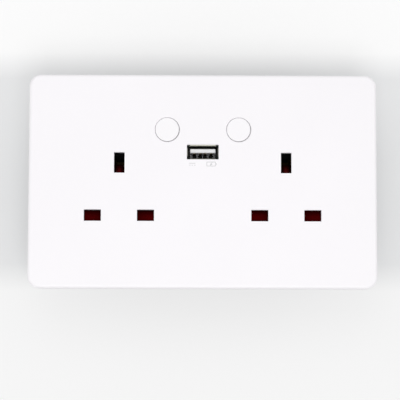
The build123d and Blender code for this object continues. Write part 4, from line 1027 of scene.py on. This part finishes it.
def paper_material(stage):
    """Paper that glows, with a painted shadow of lower glow level with the socket, and clear from behind.
    """
    finish = Finish("paper", roughness=0.9, shine=0.1)
    fade = stage.band_fade
    rise = finish.along("Z", stage.band_top - fade, stage.band_top + fade)
    fall = finish.along("Z", stage.band_low + fade, stage.band_low - fade)
    # Painted shadow level with the socket: the lower glow fades out to each side
    beside = finish.between(finish.apart(finish.part("X")), stage.band_reach, 2 * stage.band_reach)
    shadow_band = finish.mix(beside, stage.shadow_band, stage.upper)
    glow = finish.mix(rise, finish.mix(fall, shadow_band, stage.lower), stage.upper)
    finish.tint(finish.mix(fall, stage.paper, stage.foot))
    finish.feed(finish.shader, {"Emission Color": glow, "Emission Strength": 1.0})
    clear = finish.node("BsdfTransparent").outputs["BSDF"]
    behind = finish.node("NewGeometry").outputs["Backfacing"]
    finish.show(behind, finish.shader.outputs["BSDF"], clear, "Material Output")
    return finish.material


def strip_surface(profile, half_width):
    """A sheet: the profile, as (y, z) points, carried along X from side to side."""
    count = len(profile)
    edges = [np.column_stack([np.full(count, x), profile]) for x in (-half_width, half_width)]
    number = np.arange(count - 1)
    quads = np.stack([number, number + count, number + count + 1, number + 1], -1)
    surface = Surface()
    surface.add(np.concatenate(edges), quads)
    return surface


def set_backdrop(stage, steps=13):
    """Paper that curves up behind the socket in a quarter circle, and a floor all round below its foot."""
    foot = cad_low.z - stage.floor_gap
    wall = cad_high.y + stage.backdrop_gap
    size = stage.stage_size
    angle = np.linspace(-np.pi / 2, 0, steps)
    bend = (wall, foot) + stage.cove * np.column_stack([np.cos(angle) - 1, np.sin(angle) + 1])
    floor = foot - stage.floor_sink
    profiles = {
        "backdrop": np.concatenate([[[-size, foot]], bend, [[wall, size]]]),
        "floor": np.array([[-size, floor], [size, floor]]),
    }
    paper = paper_material(stage)
    for name, profile in profiles.items():
        sheet = strip_surface(profile, size).piece(name, paper)
        sheet.visible_diffuse = False
        sheet.visible_shadow = False


def set_world(scene, stage):
    """An even light all round, in whose place the camera and mirrors see a plain white."""
    scene.world = bpy.data.worlds.new("room")
    room = Nodes(scene.world)
    light = room.tree.nodes["Background"]
    room.feed(light, {"Strength": stage.room, "Color": (1.0, 1.0, 1.0, 1.0)})
    seen = room.node("Background", {"Color": opaque(stage.beyond)})
    rays = room.node("LightPath").outputs
    mirrored = room.step("MAXIMUM", rays["Is Glossy Ray"], rays["Is Transmission Ray"])
    sight = room.step("MAXIMUM", rays["Is Camera Ray"], mirrored)
    room.show(sight, light.outputs["Background"], seen.outputs["Background"], "World Output")


def add_lamp(name, place, power, size):
    """A square soft lamp that points at the middle of the plate."""
    lamp = bpy.data.lights.new(name, "AREA")
    lamp.energy = power
    lamp.size = size
    made = bpy.data.objects.new(name, lamp)
    made.location = place
    made.rotation_euler = (-made.location).to_track_quat("-Z", "Y").to_euler()
    bpy.context.scene.collection.objects.link(made)


def set_lamps(stage):
    """One lamp above the camera, one below it, and two behind for the socket's back."""
    x, y, z = stage.back_place
    add_lamp("key", stage.key_place, stage.key, stage.lamp_size)
    add_lamp("fill", stage.fill_place, stage.fill, stage.fill_size)
    add_lamp("back_left", (-x, y, z), stage.back, stage.lamp_size)
    add_lamp("back_right", (x, y, z), stage.back, stage.lamp_size)


def set_camera(scene, stage):
    """The camera in front of the plate, below its middle."""
    data = bpy.data.cameras.new("camera")
    data.lens = stage.camera_lens
    data.sensor_width = stage.camera_sensor
    camera = bpy.data.objects.new("camera", data)
    camera.location = stage.camera_place
    camera.rotation_euler = stage.camera_turn
    scene.collection.objects.link(camera)
    scene.camera = camera


# Add-on


GROUPS = {
    "socket_colours": SocketColours,
    "socket_wear": SocketShading,
    "socket_springs": SocketSprings,
    "socket_signs": SocketSigns,
    "socket_stage": SocketStage,
}
OPERATORS = (
    WALLSOCKET_OT_mouldings,
    WALLSOCKET_OT_metals,
    WALLSOCKET_OT_charger,
    WALLSOCKET_OT_switch_springs,
    WALLSOCKET_OT_shutter_springs,
    WALLSOCKET_OT_screw_threads,
    WALLSOCKET_OT_port_sign,
    WALLSOCKET_OT_terminal_signs,
    WALLSOCKET_OT_stage,
)


class WALLSOCKET_PT_looks(bpy.types.Panel):
    """Sizes and colours of the wall socket, and the operators that make its looks"""

    bl_idname = "WALLSOCKET_PT_looks"
    bl_label = "Wall socket"
    bl_space_type = "VIEW_3D"
    bl_region_type = "UI"
    bl_category = "Socket"

    def draw(self, context):
        for operator in OPERATORS:
            self.layout.operator(operator.bl_idname)
        for name, group in GROUPS.items():
            column = self.layout.column(align=True)
            column.label(text=group.__doc__)
            for key in group.__annotations__:
                column.prop(getattr(context.scene, name), key)


def register():
    """Registers the classes and puts the settings on the scene."""
    for group in GROUPS.values():
        bpy.utils.register_class(group)
    for name, group in GROUPS.items():
        setattr(bpy.types.Scene, name, PointerProperty(type=group))
    for operator in OPERATORS:
        bpy.utils.register_class(operator)
    bpy.utils.register_class(WALLSOCKET_PT_looks)


def unregister():
    """Takes the settings and the classes away again."""
    bpy.utils.unregister_class(WALLSOCKET_PT_looks)
    for operator in reversed(OPERATORS):
        bpy.utils.unregister_class(operator)
    for name, group in GROUPS.items():
        delattr(bpy.types.Scene, name)
        bpy.utils.unregister_class(group)


def main():
    """Builds the looks in order."""
    register()
    bpy.ops.wall_socket.mouldings()
    bpy.ops.wall_socket.metals()
    bpy.ops.wall_socket.charger()
    bpy.ops.wall_socket.switch_springs()
    bpy.ops.wall_socket.shutter_springs()
    bpy.ops.wall_socket.screw_threads()
    bpy.ops.wall_socket.port_sign()
    bpy.ops.wall_socket.terminal_signs()
    bpy.ops.wall_socket.stage()


if __name__ == "__main__":
    main()
